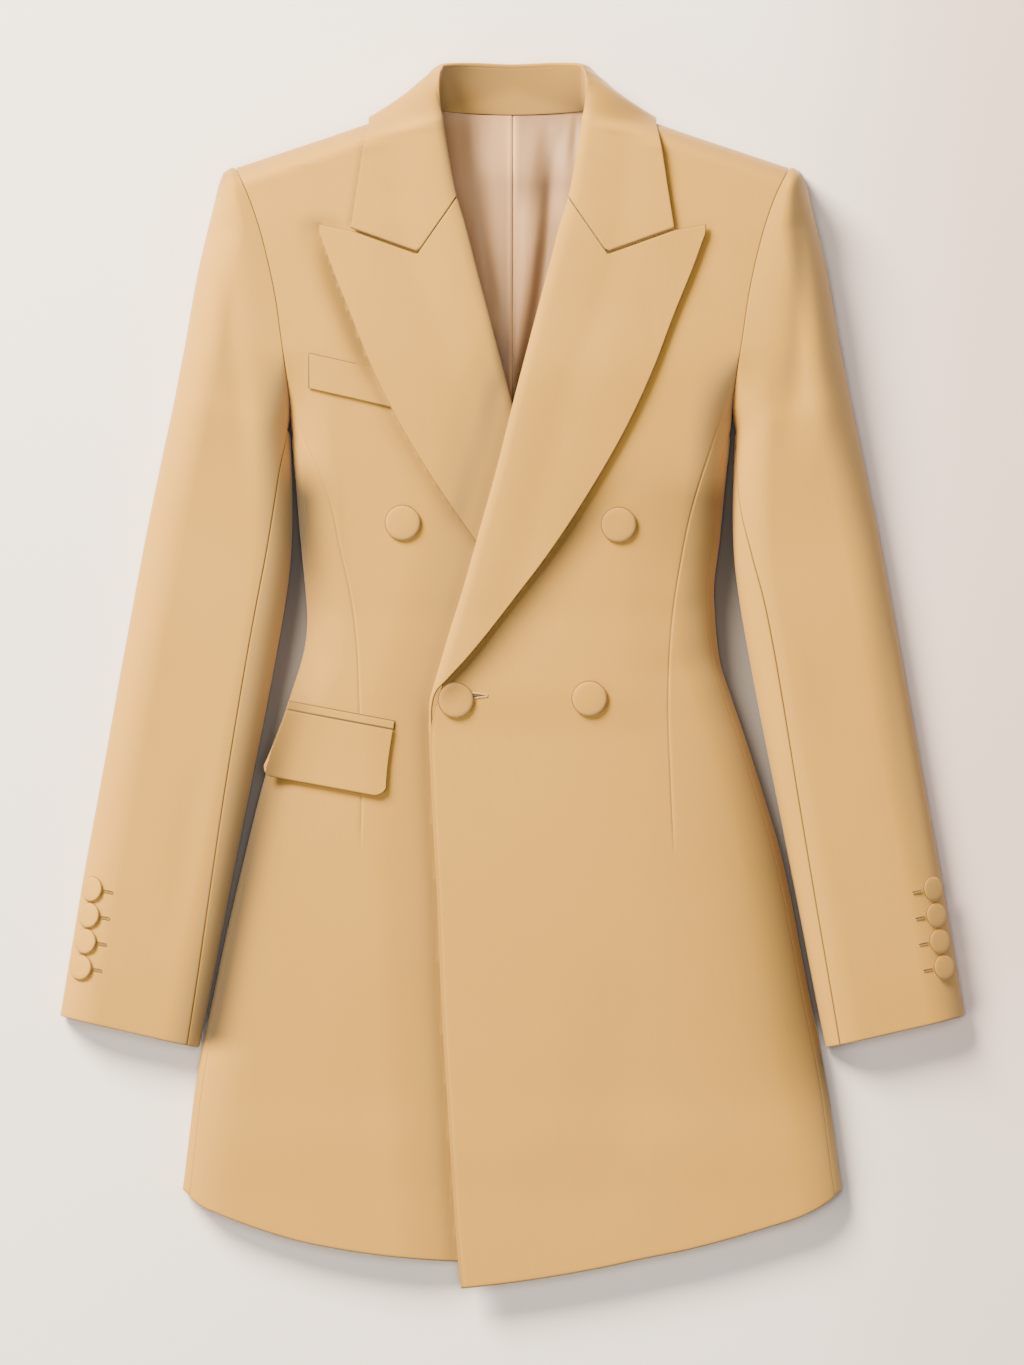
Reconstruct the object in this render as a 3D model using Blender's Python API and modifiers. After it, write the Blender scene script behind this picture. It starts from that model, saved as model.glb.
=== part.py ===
"""Double breasted blazer, laid flat on its back with its fronts up.

Metres, +Z up. The garment rests on z = 0 with its collar towards +Y and the wearer's left
towards +X. Every cloth piece is an open surface (its outer face) that Solidify makes a wall.
Tables are in millimetres and are read smoothly between their rows.
"""
import bpy
import numpy as np
from math import cos, hypot, pi, radians, sin, sqrt
from mathutils import Vector

MM = 0.001
LEFT, RIGHT = 1, -1               # the wearer's sides: left lies towards +X

# Cloth
CLOTH = 2.0 * MM                  # outer cloth with its interlining
LINING = 1.0 * MM
TRIM = 1.2 * MM                   # welt and jet
SEAM = 0.3 * MM                   # gap between two pieces at a seam
PROBE = 0.5 * MM                  # step for measuring a slope

# How the garment lies
FOOT = 7.0 * MM                   # radius where a side turns up from the table
BOW = 0.06                        # extra rise at the middle of the body
FRONT_SEAM = 5.0 * MM             # the side seam lies this far in from the side, on the front
SEAM_RUN_OUT = (145.0 * MM, 178.0 * MM)   # there it runs out to the armhole
LOWER_ARMHOLE = 160.0 * MM        # the sides begin to square up into the armhole here
ARMPIT = 172.0 * MM
ARMPIT_TOP = 228.0 * MM           # the front is at full height along the armhole from here up
SHOULDER_TIP = (193.5 * MM, 355.5 * MM)
SHOULDER_SLOPE = 0.333
SHOULDER_TURN = 16.0 * MM
NECK_POINT = (56.0 * MM, 400.5 * MM)
BACK_NECK = 392.3 * MM
NECK_LIFT = 3.8 * MM              # the back lies this much higher, on the collar beneath it
NECK_LIFT_Y = (352.0 * MM, 378.0 * MM)
NECK_LIFT_X = (106.0 * MM, 130.0 * MM)

# Overlap of the two fronts
DIP = 3.5 * MM                    # how far the under front sinks beneath the top one
DIP_REACH = 45.0 * MM
STEP = 2.3 * MM                   # how far the top front rises over the hidden lapel
OVERLAP_TOP = 200.0 * MM
OVERLAP_FADE = 60.0 * MM
OVER_LAPEL_X = (70.0 * MM, 130.0 * MM)
OVER_LAPEL_Y = (-45.0 * MM, -5.0 * MM)
FOLD_HEIGHT = 4.8 * MM            # two layers of cloth and the gap inside a rolled fold
FOLD_TAIL = 5.5 * MM              # from the roll line to the seam inside a fold
STAND_TAIL = 2.6 * MM             # the same inside the collar, where the stand starts
STAND_START = 3.0 * MM            # and from the roll line down to it at the back of the neck
BREAK = -6.7 * MM                 # where the lapel's roll line starts
BREAK_GAP = 1.0 * MM              # the lapel starts this far above it
LAPEL_RISE = 2.8 * MM             # the leaf's face over the front, at the roll line
LAPEL_CROWN = 1.6 * MM            # further rise over the roll
LAPEL_SAG = 0.9 * MM              # fall behind the roll, and the same rise again at the edge
LAPEL_REACH = (14.0 * MM, 40.0 * MM, 60.0 * MM)   # from the roll line: crown, sag, edge
SHOULDER_RISE = 2.0 * MM          # the collar lifts over the shoulder seam
SHOULDER_RISE_Y = (362.0 * MM, 380.0 * MM)
HIDDEN_RISE = 2.7 * MM            # the under lapel's face where the top front hides it
HIDDEN_REACH = (25.0 * MM, 8.0 * MM)              # from the top front's roll line
HIDDEN_TOP = (195.0 * MM, 215.0 * MM)

BODY = (
    ("y", "left", "right", "rise", "turn", "side_back"),
    (-360, 231.0, 231.2, 21, 34, 62),
    (-325, 226.0, 227.0, 22, 34, 60),
    (-297, 222.1, 223.5, 22, 34, 58),
    (-262, 216.0, 218.0, 23, 34, 56),
    (-227, 208.6, 210.2, 24, 32, 54),
    (-192, 201.8, 203.0, 25, 30, 52),
    (-157, 195.2, 194.9, 26, 30, 50),
    (-122, 187.3, 186.6, 27, 30, 48),
    (-80, 174.7, 176.0, 28, 30, 46),
    (-45, 163.5, 165.6, 29, 30, 44),
    (-10, 151.6, 154.4, 30, 30, 42),
    (7, 146.0, 148.8, 30, 30, 41),
    (25, 143.2, 144.8, 30, 30, 40),
    (42, 141.9, 143.9, 30, 30, 39),
    (60, 141.2, 145.1, 31, 30, 38),
    (95, 145.2, 148.6, 33, 30, 34),
    (130, 148.7, 151.6, 36, 30, 26),
    (172, 153.0, 155.0, 40, 30, 10),
    (193, 154.2, 155.9, 42, 30, 10),
    (217, 157.2, 158.6, 44, 30, 10),
    (238, 160.4, 161.4, 45, 30, 10),
    (263, 164.0, 164.9, 46, 30, 10),
    (287, 168.8, 169.8, 47, 30, 10),
    (313, 175.6, 176.5, 48, 30, 10),
    (334, 183.0, 183.8, 48, 30, 10),
    (355.5, 193.5, 193.5, 48, 30, 10),
)
FRONT_EDGE = (                    # the top front's edge, then its roll line
    ("y", "x"),
    (-428.8, -36.1),
    (-402.2, -38.9),
    (-353.2, -42.4),
    (-297.2, -45.9),
    (-227.2, -50.1),
    (-157.2, -52.9),
    (-80.2, -57.1),
    (-31.2, -58.5),
    (-17.2, -57.8),
    (-6.7, -55.0),
    (7.4, -50.8),
    (52.9, -38.2),
    (98.4, -26.3),
    (143.9, -14.4),
    (189.4, -1.8),
    (238.4, 12.3),
    (283.9, 24.9),
    (315.4, 33.3),
    (332.9, 38.9),
    (360.9, 45.2),
    (381.9, 49.4),
    (402.9, 51.5),
)
HEM = (                           # left and right fronts and the back, from the hidden end outwards
    ("x", "left", "right", "back"),
    (-60, -430.5, -411.5, -402),
    (-36, -428.8, -411.2, -402),
    (0, -424.8, -411.5, -402),
    (36, -419.3, -410.6, -400),
    (65, -413.9, -408.5, -398),
    (93, -407.8, -405.7, -395),
    (121, -402.2, -401.5, -391),
    (149, -395.0, -395.9, -386),
    (177, -386.7, -387.5, -380),
    (205, -377.3, -377.0, -371),
    (219, -370.0, -370.7, -366),
    (231, -361.0, -361.0, -360),
)
LAPEL_EDGE = (                    # the lapels' outer edges
    ("y", "left", "right"),
    (-6.7, -47.5, -47.5),
    (10.9, -36.8, -37.5),
    (24.9, -22.8, -25),
    (41.7, -8.8, -12),
    (58.5, 5.3, 1),
    (76.7, 19.3, 14),
    (94.8, 32.2, 26.3),
    (129.9, 55.0, 50.8),
    (175.4, 80.9, 78.8),
    (215.3, 99.1, 98.4),
    (250.3, 112.2, 112.4),
    (289.5, 127.8, 127.8),
    (308.4, 134.5, 134.5),
)
PEAK = (134.8 * MM, 314.7 * MM)
GORGE = (38.9 * MM, 332.9 * MM)   # top of the gorge seam, on the roll line
NOTCH = (66.2 * MM, 293.7 * MM)   # bottom of the gorge seam
COLLAR_TIP = (113.0 * MM, 310.5 * MM)
COLLAR_FRONT_TOP = (390.0 * MM, 384.0 * MM)   # where its front stretch ends, on roll line and edge
COLLAR_EDGE = (
    ("y", "x"),
    (310.5, 113.0),
    (336.4, 108.9),
    (371.4, 103.3),
    (385.0, 100.5),
)
COLLAR_TURN = (                   # the collar from the front round the side to the centre back
    ("seam_x", "seam_y", "seam_z", "roll_x", "roll_y", "roll_z",
     "mid_x", "mid_y", "mid_z", "edge_x", "edge_y", "edge_z"),
    (54.8, 399.5, 30, 51.4, 399, 53, 78, 402, 57, 104, 390.5, 30),
    (54.2, 401.5, 17, 51.8, 410, 49, 80, 416, 40, 101, 394, 9),
    (50.0, 400.5, 9.4, 51.0, 420, 43, 73, 428, 14, 90, 388, 0),
    (47.0, 399.4, 8.2, 49.4, 424, 39, 65.5, 434, 5.5, 79, 386, 0),
    (43.0, 398.2, 7.2, 46.5, 426.5, 35, 56, 437, 0, 66, 384.5, 0),
    (26.0, 394.6, 6.2, 28, 427.8, 27, 30, 434, 0, 36, 384.5, 0),
    (0.0, 392.9, 6.0, 0, 427, 24, 0, 432, 0, 0, 385.5, 0),
)
SLEEVE = (                        # inner and outer edge of each section, from the cuff up
    ("in_x", "in_y", "out_x", "out_y", "rise", "seam"),
    (219.6, -260.8, 317.0, -238.4, 25, 8.5),
    (212.6, -225.8, 311.2, -203.4, 26, 9),
    (199.3, -157.2, 299.6, -134.8, 27, 10.5),
    (185.5, -87.2, 286.7, -64.8, 28, 12.5),
    (171.5, -17.2, 274.1, 6.0, 29, 16),
    (159.5, 49.4, 261.5, 73.9, 31, 23),
    (155.5, 80.9, 255.2, 106.8, 32, 21),
    (154.3, 115.9, 248.2, 140.4, 35, 15),
    (154.8, 143.9, 242.6, 167.0, 38, 9),
    (155.8, 170.5, 237.0, 192.9, 41, 2),
)
SLEEVE_HEAD = (                   # the same above the armpit, where the armhole is the inner edge
    ("in_y", "out_x", "out_y", "fullness"),
    (190, 233.2, 213.0, 0.5),
    (215, 228.8, 236.0, 1.5),
    (245, 224.0, 264.0, 2.0),
    (275, 219.8, 286.0, 2.5),
    (305, 214.3, 309.5, 2.5),
    (330, 209.2, 330.0, 2.0),
    (346, 204.6, 346.8, 0.5),
    (352, 201.4, 353.0, 0.2),
    (354.6, 197.2, 355.9, 0.0),
)
SLEEVE_FOOT = 6.0 * MM
SLEEVE_TURN = 27.0 * MM
GORGE_GAP = 0.5 * MM              # between lapel and collar, on each side of the gorge seam
STRIP = 0.6 * MM                  # strip beside a sleeve's seam, which keeps both walls square there
NARROW_STRIP = 0.2 * MM           # the same beside the side panel's seam
BACK_SEAM = 11.0 * MM             # the sleeve's back seam lies this far in beneath its outer edge

FLAP = ((-157.9, -23.9), (-83.0, -37.9), (-90.7, -85.1), (-175.4, -69.4))
JET = ((-156.5, -17.9), (-82.3, -31.9), (-83.0, -37.5), (-157.9, -23.5))
WELT = ((-141.8, 224.4), (-84.0, 211.3), (-84.0, 186.8), (-141.8, 199.9))
FLAP_DROP = 12.0 * MM             # a flap stays level over this last stretch of the side

FRONT_BUTTONS = ((-76.7, 106.8), (73.9, 105.4), (53.6, -15.8), (-39.6, -16.9))
CUFF_BUTTONS = ((293.4, -149.4), (295.6, -167.7), (298.0, -185.9), (301.2, -204.1))
FRONT_BUTTON_SIZE = 25.0 * MM
CUFF_BUTTON_SIZE = 17.6 * MM
BUTTON_GAP = 0.5 * MM             # a button stands this far off the cloth on its thread

CAMEL = (0.73, 0.48, 0.24)
LINING_PINK = (0.68, 0.49, 0.35)

# Rows and columns of the cloth's grids. Pieces that share a seam share their rows.
HEM_CORNER = -360.0 * MM
HEM_BLEND = -300.0 * MM           # below this, the rows bend to the hem
HEM_STEPS = (0, 0.5)              # rows between the hem and the first level row
LEVEL_ROWS = [y * MM for y in (-300, -240, -180, -120, -70, -30, 5, 40, 80, 125, 155, 171.5)]
ARMHOLE_ROWS = [row[0] * MM for row in SLEEVE_HEAD[1:-1]]
FRONT_NECK_ROWS = [y * MM for y in (355, 368, 380, 389, 396)]
BACK_NECK_ROWS = [y * MM for y in (355, 368, 380, 387, 392, 394, 396.5)]
BACK_ROWS = [ARMPIT + SEAM] + ARMHOLE_ROWS + BACK_NECK_ROWS
LINING_ROWS = [y * MM for y in (168, 230, 290, 345, 362, 376, 391.6)]
FRONT_COLUMNS = (0, 0.004, 0.04, 0.1, 0.18, 0.35, 0.56, 0.75, 0.9, 1)
BACK_COLUMNS = (0, 0.3, 0.6, 0.8, 0.93, 1)
LAPEL_ROWS = (0, 0.04, 0.08, 0.14, 0.22, 0.32, 0.42, 0.52, 0.62, 0.72, 0.8, 0.87, 0.94, 1)
LAPEL_COLUMNS = (0.06, 0.285, 0.53, 0.773, 0.89, 1)
COLLAR_ROWS = (0, 0.2, 0.42, 0.64, 0.84, 1)
COLLAR_COLUMNS = (0.08, 0.368, 0.6, 0.82, 1)
STAND_COLUMNS = (0, 0.33, 0.67, 1)
TAIL_COLUMNS = (0, 0.5, 0.78, 0.84, 0.88, 0.92, 0.96, 0.98, 1)   # close together at the armhole


class Table:
    """A short table of sections, read smoothly between its rows by its first column."""

    def __init__(self, rows):
        self.columns = rows[0]
        data = np.array(rows[1:], dtype=float) * MM
        self.data = data[data[:, 0].argsort()]
        keys = self.data[:, 0]
        self.slopes = np.gradient(self.data, keys, axis=0)

    def at(self, name, key):
        column = self.columns.index(name)
        keys = self.data[:, 0]
        i = int(np.clip(np.searchsorted(keys, key) - 1, 0, len(keys) - 2))
        span = keys[i + 1] - keys[i]
        t = min(max((key - keys[i]) / span, 0.0), 1.0)
        start, end = self.data[i, column], self.data[i + 1, column]
        run_in, run_out = self.slopes[i, column] * span, self.slopes[i + 1, column] * span
        return (start * (1 + 2 * t) * (1 - t) ** 2 + end * t * t * (3 - 2 * t)
                + run_in * t * (1 - t) ** 2 - run_out * t * t * (1 - t))


def mix(a, b, t):
    return a + (b - a) * t


def smooth(low, high, value):
    """0 below low, 1 above high, with an S between."""
    t = min(max((value - low) / (high - low), 0.0), 1.0)
    return t * t * (3 - 2 * t)


def quarter(t):
    """Height of a quarter round, 0 at its foot and 1 at its top."""
    t = min(max(t, 0.0), 1.0)
    return sqrt(1 - (1 - t) ** 2)


def bezier(a, b, c, t):
    return a * (1 - t) ** 2 + b * (2 * t * (1 - t)) + c * t * t


body, front_edge, hem = Table(BODY), Table(FRONT_EDGE), Table(HEM)
lapel_edge, collar_edge = Table(LAPEL_EDGE), Table(COLLAR_EDGE)


# ---------------------------------------------------------------- how the cloth lies

def side_edge(side, y):
    """How far out the body reaches: its side, then the armhole seam."""
    return side * body.at("left" if side == LEFT else "right", y)


def shoulder_line(x):
    return SHOULDER_TIP[1] + (SHOULDER_TIP[0] - abs(x)) * SHOULDER_SLOPE


def shoulder_x(y):
    return SHOULDER_TIP[0] - (y - SHOULDER_TIP[1]) / SHOULDER_SLOPE


def shoulder_depth(x, y):
    """How far a point lies inside the shoulder line."""
    return (shoulder_line(x) - y) / hypot(1, SHOULDER_SLOPE)


def neck_lift(x, y):
    """Rise of the back and the shoulders where they lie on the collar."""
    return NECK_LIFT * smooth(*NECK_LIFT_Y, y) * (1 - smooth(*NECK_LIFT_X, abs(x)))


def front_height(x, y):
    """Height of the outer face of the fronts, before one front is laid over the other."""
    side = LEFT if x > 0 else RIGHT
    edge = abs(side_edge(side, y))
    rise = body.at("rise", y) * (1 + BOW * (1 - (x / edge) ** 2))
    round_over = quarter((edge - abs(x)) / body.at("turn", y))
    round_over = mix(round_over, 1.0, smooth(LOWER_ARMHOLE, ARMPIT_TOP, y))
    foot = FOOT + neck_lift(x, y)
    return foot + (rise - foot) * round_over * quarter(shoulder_depth(x, y) / SHOULDER_TURN)


def overlap(y):
    """1 where one front lies over the other, 0 above their crossing."""
    return 1 - smooth(OVERLAP_TOP, OVERLAP_TOP + OVERLAP_FADE, y)


def front_face(side, x, y):
    """Height of one front's outer face."""
    height = front_height(x, y)
    edge = front_edge.at("x", y)
    if side == RIGHT:
        return height - DIP * overlap(y) * smooth(edge - DIP_REACH, edge, x)
    over_lapel = smooth(*OVER_LAPEL_Y, y) * (1 - smooth(*OVER_LAPEL_X, x))
    return height + STEP * overlap(y) * over_lapel


def on_front(side, x, y, lift=0.0):
    """A point on a front's outer face, moved out along the cloth's normal."""
    slope_x = (front_face(side, x + PROBE, y) - front_face(side, x - PROBE, y)) / (2 * PROBE)
    slope_y = (front_face(side, x, y + PROBE) - front_face(side, x, y - PROBE)) / (2 * PROBE)
    normal = Vector((-slope_x, -slope_y, 1)).normalized()
    return Vector((x, y, front_face(side, x, y))) + normal * lift


# ---------------------------------------------------------------- making a piece

def collection(name):
    made = bpy.data.collections.new(name)
    bpy.context.scene.collection.children.link(made)
    return made


def material(name, colour, roughness):
    made = bpy.data.materials.new(name)
    made.use_nodes = True
    shader = made.node_tree.nodes["Principled BSDF"]
    shader.inputs["Base Color"].default_value = (*colour, 1)
    shader.inputs["Roughness"].default_value = roughness
    shader.inputs["Metallic"].default_value = 0
    return made


def add_object(name, mesh, colour=CAMEL, roughness=0.85):
    mesh.materials.append(material(name + "_finish", colour, roughness))
    piece = bpy.data.objects.new(name, mesh)
    GARMENT.objects.link(piece)
    return piece


def cloth(name, rows, thickness=CLOTH, flip=False, colour=CAMEL, roughness=0.85):
    """A wall of cloth whose outer face is the grid of rows."""
    width = len(rows[0])
    faces = []
    for r in range(len(rows) - 1):
        for c in range(width - 1):
            corner = r * width + c
            face = (corner, corner + 1, corner + width + 1, corner + width)
            faces.append(face[::-1] if flip else face)
    mesh = bpy.data.meshes.new(name)
    mesh.from_pydata([tuple(point) for row in rows for point in row], [], faces)
    mesh.shade_smooth()
    piece = add_object(name, mesh, colour, roughness)
    wall = piece.modifiers.new("wall", "SOLIDIFY")
    wall.thickness = thickness
    wall.offset = -1
    return piece


def mirrored(rows):
    return [[Vector((-p.x, p.y, p.z)) for p in row] for row in rows]


# ---------------------------------------------------------------- fronts, sides and back

def front_seam_x(side, y):
    """The front's outer boundary: side seam, armhole seam, then shoulder seam."""
    inset = mix(FRONT_SEAM, SEAM / 2, smooth(*SEAM_RUN_OUT, y))
    reach = abs(side_edge(side, y)) - inset
    if y > SHOULDER_TIP[1] - 1 * MM:
        reach = min(reach, shoulder_x(y + SEAM))
    return side * reach


def front_inner_x(side, y):
    """The front's inner boundary: its edge, then the seam inside the rolled fold."""
    fold = (FOLD_TAIL + SEAM) * (1 if y > BREAK else 0)
    return side * (front_edge.at("x", y) + fold)


def front(side):
    rows = []
    for t in HEM_STEPS:
        outer_y = mix(HEM_CORNER, HEM_BLEND, t)
        inner_y = mix(front_hem(side, front_edge.at("x", -420 * MM) * side), HEM_BLEND, t)
        outer_x, inner_x = front_seam_x(side, outer_y), front_inner_x(side, inner_y)
        row = []
        for u in FRONT_COLUMNS:
            x = mix(outer_x, inner_x, u)
            y = mix(front_hem(side, x), HEM_BLEND, t)
            row.append(Vector((x, y, front_face(side, x, y))))
        rows.append(row)
    for y in sorted(LEVEL_ROWS + ARMHOLE_ROWS + FRONT_NECK_ROWS + [BREAK + BREAK_GAP]):
        outer_x, inner_x = front_seam_x(side, y), front_inner_x(side, y)
        row = []
        for u in FRONT_COLUMNS:
            x = mix(outer_x, inner_x, u)
            row.append(Vector((x, y, front_face(side, x, y))))
        rows.append(row)
    cloth("front_left" if side == LEFT else "front_right", rows, flip=side == LEFT)


def front_hem(side, x):
    """The hem of one front: outwards from its own edge."""
    return hem.at("left" if side == LEFT else "right", side * x)


def side_panel(side):
    """From the side seam on the front, round the side and in beneath the body."""
    rows = []
    for t, level in [(t, HEM_BLEND) for t in HEM_STEPS] + [(1, y) for y in LEVEL_ROWS]:
        seam_y = mix(HEM_CORNER, level, t)
        edge = abs(side_edge(side, seam_y))
        depth = edge - abs(front_seam_x(side, seam_y)) - SEAM
        back_depth = body.at("side_back", seam_y)
        depths = [(depth, None), (depth - NARROW_STRIP, None)]
        depths += [(depth * (1 - c) ** 2, None) for c in (0.5, 1)]
        depths += [(FOOT * (1 - cos(radians(a))), FOOT * (1 - sin(radians(a)))) for a in (40, 90)]
        depths += [(mix(FOOT, back_depth, c), 0) for c in (0.5, 1)]
        row = []
        for inset, height in depths:
            reach = edge - inset
            y = mix(hem.at("back", reach), level, t)
            if height is None:
                height = front_height(side * reach, seam_y)
            row.append(Vector((side * reach, y, height)))
        rows.append(row)
    cloth("side_left" if side == LEFT else "side_right", rows, flip=side == RIGHT)


def neck_curve_x(y):
    """Where the back neck seam reaches height y."""
    rise = max(y - BACK_NECK, 0) / (NECK_POINT[1] - BACK_NECK)
    return NECK_POINT[0] * rise ** 0.4


def back_height(x, y):
    """Height of the back's outer face, which lies on the table."""
    turn_up = 1 - quarter(shoulder_depth(x, y) / FOOT)
    return neck_lift(x, y) + FOOT * turn_up


def back(side):
    rows = []
    for t, level in [(t, HEM_BLEND) for t in HEM_STEPS] + [(1, y) for y in LEVEL_ROWS + BACK_ROWS]:
        seam_y = mix(HEM_CORNER, level, t)
        if seam_y < ARMPIT:
            outer = abs(side_edge(side, seam_y)) - body.at("side_back", seam_y) - SEAM
        elif seam_y < SHOULDER_TIP[1]:
            outer = abs(side_edge(side, seam_y)) - SEAM / 2
        else:
            outer = shoulder_x(seam_y)
        inner = max(neck_curve_x(seam_y), SEAM / 2)
        row = []
        for u in BACK_COLUMNS:
            reach = mix(inner, outer, u)
            y = mix(hem.at("back", reach), level, t)
            row.append(Vector((side * reach, y, back_height(reach, y))))
        rows.append(row)
    cloth("back_left" if side == LEFT else "back_right", rows, flip=side == LEFT)


def lining(side):
    """The back lining, seen through the neck opening."""
    rows = []
    for y in LINING_ROWS:
        row = []
        for u in (0, 0.25, 0.5, 0.75, 1):
            x = mix(SEAM / 2, NECK_POINT[0], u)
            row.append(Vector((side * x, y, back_height(x, y) + CLOTH + SEAM + LINING)))
        rows.append(row)
    name = "lining_left" if side == LEFT else "lining_right"
    cloth(name, rows, LINING, side == RIGHT, LINING_PINK, 0.4)


# ---------------------------------------------------------------- lapels and collar

def fold_points(side, x, y, width):
    """From the seam inside a fold, along its lower limb and up round the roll line at x."""
    base = on_front(side, side * (x + FOLD_TAIL), y).z - CLOTH
    radius = FOLD_HEIGHT / 2
    reach = min(radius, width / 3)
    points = [Vector((side * (x + min(FOLD_TAIL, width * 0.7)), y, base))]
    for angle in (-90, -40, 0, 45):
        out = reach * (1 - cos(radians(angle)))
        points.append(Vector((side * (x + out), y, base + radius + radius * sin(radians(angle)))))
    return points


def lapel_lift(side, distance, y):
    """How far the lapel's face lies over the front, by its distance from the roll line."""
    crown, sag, edge = LAPEL_REACH
    lift = LAPEL_RISE + LAPEL_CROWN * quarter(distance / crown) - LAPEL_SAG * smooth(crown, sag, distance)
    lift += LAPEL_SAG * smooth(2 * crown, edge, distance)
    lift += SHOULDER_RISE * smooth(*SHOULDER_RISE_Y, y)
    if side == LEFT:
        return lift
    top_roll = front_edge.at("x", y)
    hidden = smooth(top_roll - HIDDEN_REACH[0], top_roll - HIDDEN_REACH[1], -top_roll - distance)
    return mix(lift, HIDDEN_RISE, hidden * (1 - smooth(*HIDDEN_TOP, y)))


def lapel(side):
    """A peaked lapel: rows run from the roll line out to its edge, bent to the gorge at the top."""
    top = ((0, GORGE[1]), (0.285, NOTCH[1]), (0.773, COLLAR_TIP[1]), (1, PEAK[1]))
    rows = []
    for v in LAPEL_ROWS:
        roll_y = mix(BREAK + BREAK_GAP, GORGE[1] - GORGE_GAP, v)
        edge_y = mix(BREAK + BREAK_GAP, PEAK[1], v)
        roll_x = front_edge.at("x", roll_y)
        name = "left" if side == LEFT else "right"
        edge_x = mix(lapel_edge.at(name, edge_y), PEAK[0], smooth(0.97, 1, v))
        row = fold_points(side, roll_x, roll_y, edge_x - roll_x)
        for u in LAPEL_COLUMNS:
            x = mix(roll_x, edge_x, u)
            straight = mix(roll_y, edge_y, u)
            bend = np.interp(u, [p[0] for p in top], [p[1] for p in top]) - mix(GORGE[1], PEAK[1], u)
            y = straight + (bend - GORGE_GAP) * smooth(0.62, 1, v)
            row.append(on_front(side, side * x, y, lapel_lift(side, x - roll_x, y)))
        rows.append(row)
    cloth("lapel_left" if side == LEFT else "lapel_right", rows, flip=side == RIGHT)


def collar_front_rows():
    """Leaf and stand of the collar's front stretch, over the wearer's left front."""
    leaf_rows, stand_rows = [], []
    for v in COLLAR_ROWS:
        roll_y, edge_y = mix(GORGE[1], COLLAR_FRONT_TOP[0], v), mix(COLLAR_TIP[1], COLLAR_FRONT_TOP[1], v)
        roll_x, edge_x = front_edge.at("x", roll_y), collar_edge.at("x", edge_y)
        leaf = fold_points(LEFT, roll_x, roll_y + (GORGE_GAP if v == 0 else 0), edge_x - roll_x)
        leaf[0].x = roll_x + STAND_TAIL
        stand_start = Vector((roll_x + FOLD_TAIL - 3 * SEAM, leaf[0].y, leaf[0].z))
        stand_end = Vector((roll_x + STAND_TAIL + 2 * SEAM, leaf[0].y, leaf[0].z))
        stand_rows.append([stand_start.lerp(stand_end, t) for t in STAND_COLUMNS])
        for u in COLLAR_COLUMNS:
            x = mix(roll_x, edge_x, u)
            bend = np.interp(u, [0, 0.368, 1], [GORGE[1], NOTCH[1], COLLAR_TIP[1]])
            bend -= mix(GORGE[1], COLLAR_TIP[1], u)
            y = mix(roll_y, edge_y, u) + (bend + GORGE_GAP) * (1 - smooth(0, 0.6, v))
            leaf.append(on_front(LEFT, x, y, lapel_lift(LEFT, x - roll_x, y)))
        leaf_rows.append(leaf)
    return leaf_rows, stand_rows


def collar_turn_rows():
    """The same from the shoulder round to the centre back, section by section."""
    leaf_rows, stand_rows = [], []
    for values in COLLAR_TURN[1:]:
        seam, roll, middle, edge = (Vector(values[i:i + 3]) * MM for i in (0, 3, 6, 9))
        inner = roll + (seam - roll).normalized() * STAND_START
        outer = bezier(roll, middle, edge, 0.06)
        crest = roll * 2 - (inner + outer) / 2
        leaf = [bezier(inner, crest, outer, t) for t in (0, 0.25, 0.5, 0.75, 1)]
        leaf += [bezier(roll, middle, edge, mix(0.1, 1, u)) for u in COLLAR_COLUMNS]
        leaf_rows.append(leaf)
        end = inner + (seam - roll).normalized() * 4 * SEAM
        stand_rows.append([seam.lerp(end, t) for t in STAND_COLUMNS])
    return leaf_rows, stand_rows


def collar():
    """The leaf turned over all round the neck, and the stand inside it."""
    front_leaf, front_stand = collar_front_rows()
    turn_leaf, turn_stand = collar_turn_rows()
    for name, half in (("collar_fall", front_leaf + turn_leaf), ("collar_stand", front_stand + turn_stand)):
        rows = half + mirrored(half[:-1][::-1])
        cloth(name, rows)


# ---------------------------------------------------------------- sleeves

def sleeve_sections(side):
    """Inner and outer edge, rise, front seam and openness of every sleeve section."""
    sections = []
    for in_x, in_y, out_x, out_y, rise, seam in SLEEVE[1:]:
        inner, outer = Vector((in_x, in_y, 0)) * MM, Vector((out_x, out_y, 0)) * MM
        sections.append((inner, outer, rise * MM, seam * MM, 0.0, False))
    for in_y, out_x, out_y, fullness in SLEEVE_HEAD[1:]:
        y = in_y * MM
        inner = Vector((abs(side_edge(side, y)) + SEAM, y, 0))
        outer = Vector((out_x, out_y, 0)) * MM
        sections.append((inner, outer, body.at("rise", y), 0.0, fullness * MM, True))
    return sections


def sleeve_point(side, section, along, height):
    inner, outer = section[0], section[1]
    point = inner.lerp(outer, along / (outer - inner).length)
    return Vector((side * point.x, point.y, height))


def sleeve_top(side, section, along):
    """Height of the sleeve's upper face at a distance from its inner edge."""
    inner, outer, rise, seam, fullness, attached = section
    width = (outer - inner).length
    foot, turn = min(SLEEVE_FOOT, width * 0.4), min(SLEEVE_TURN, width * 0.7)
    joined = smooth(LOWER_ARMHOLE, ARMPIT_TOP, inner.y)
    round_in = mix(quarter(along / SLEEVE_TURN), 1, joined)
    if attached:
        foot = mix(foot, FOOT, 1 - along / width)
        round_in *= quarter(shoulder_depth(side_edge(side, inner.y), inner.y) / SHOULDER_TURN)
    round_out = quarter((width - along) / turn)
    head = fullness * sin(pi * along / width)
    return foot + (rise + head - foot) * round_in * round_out


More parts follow.
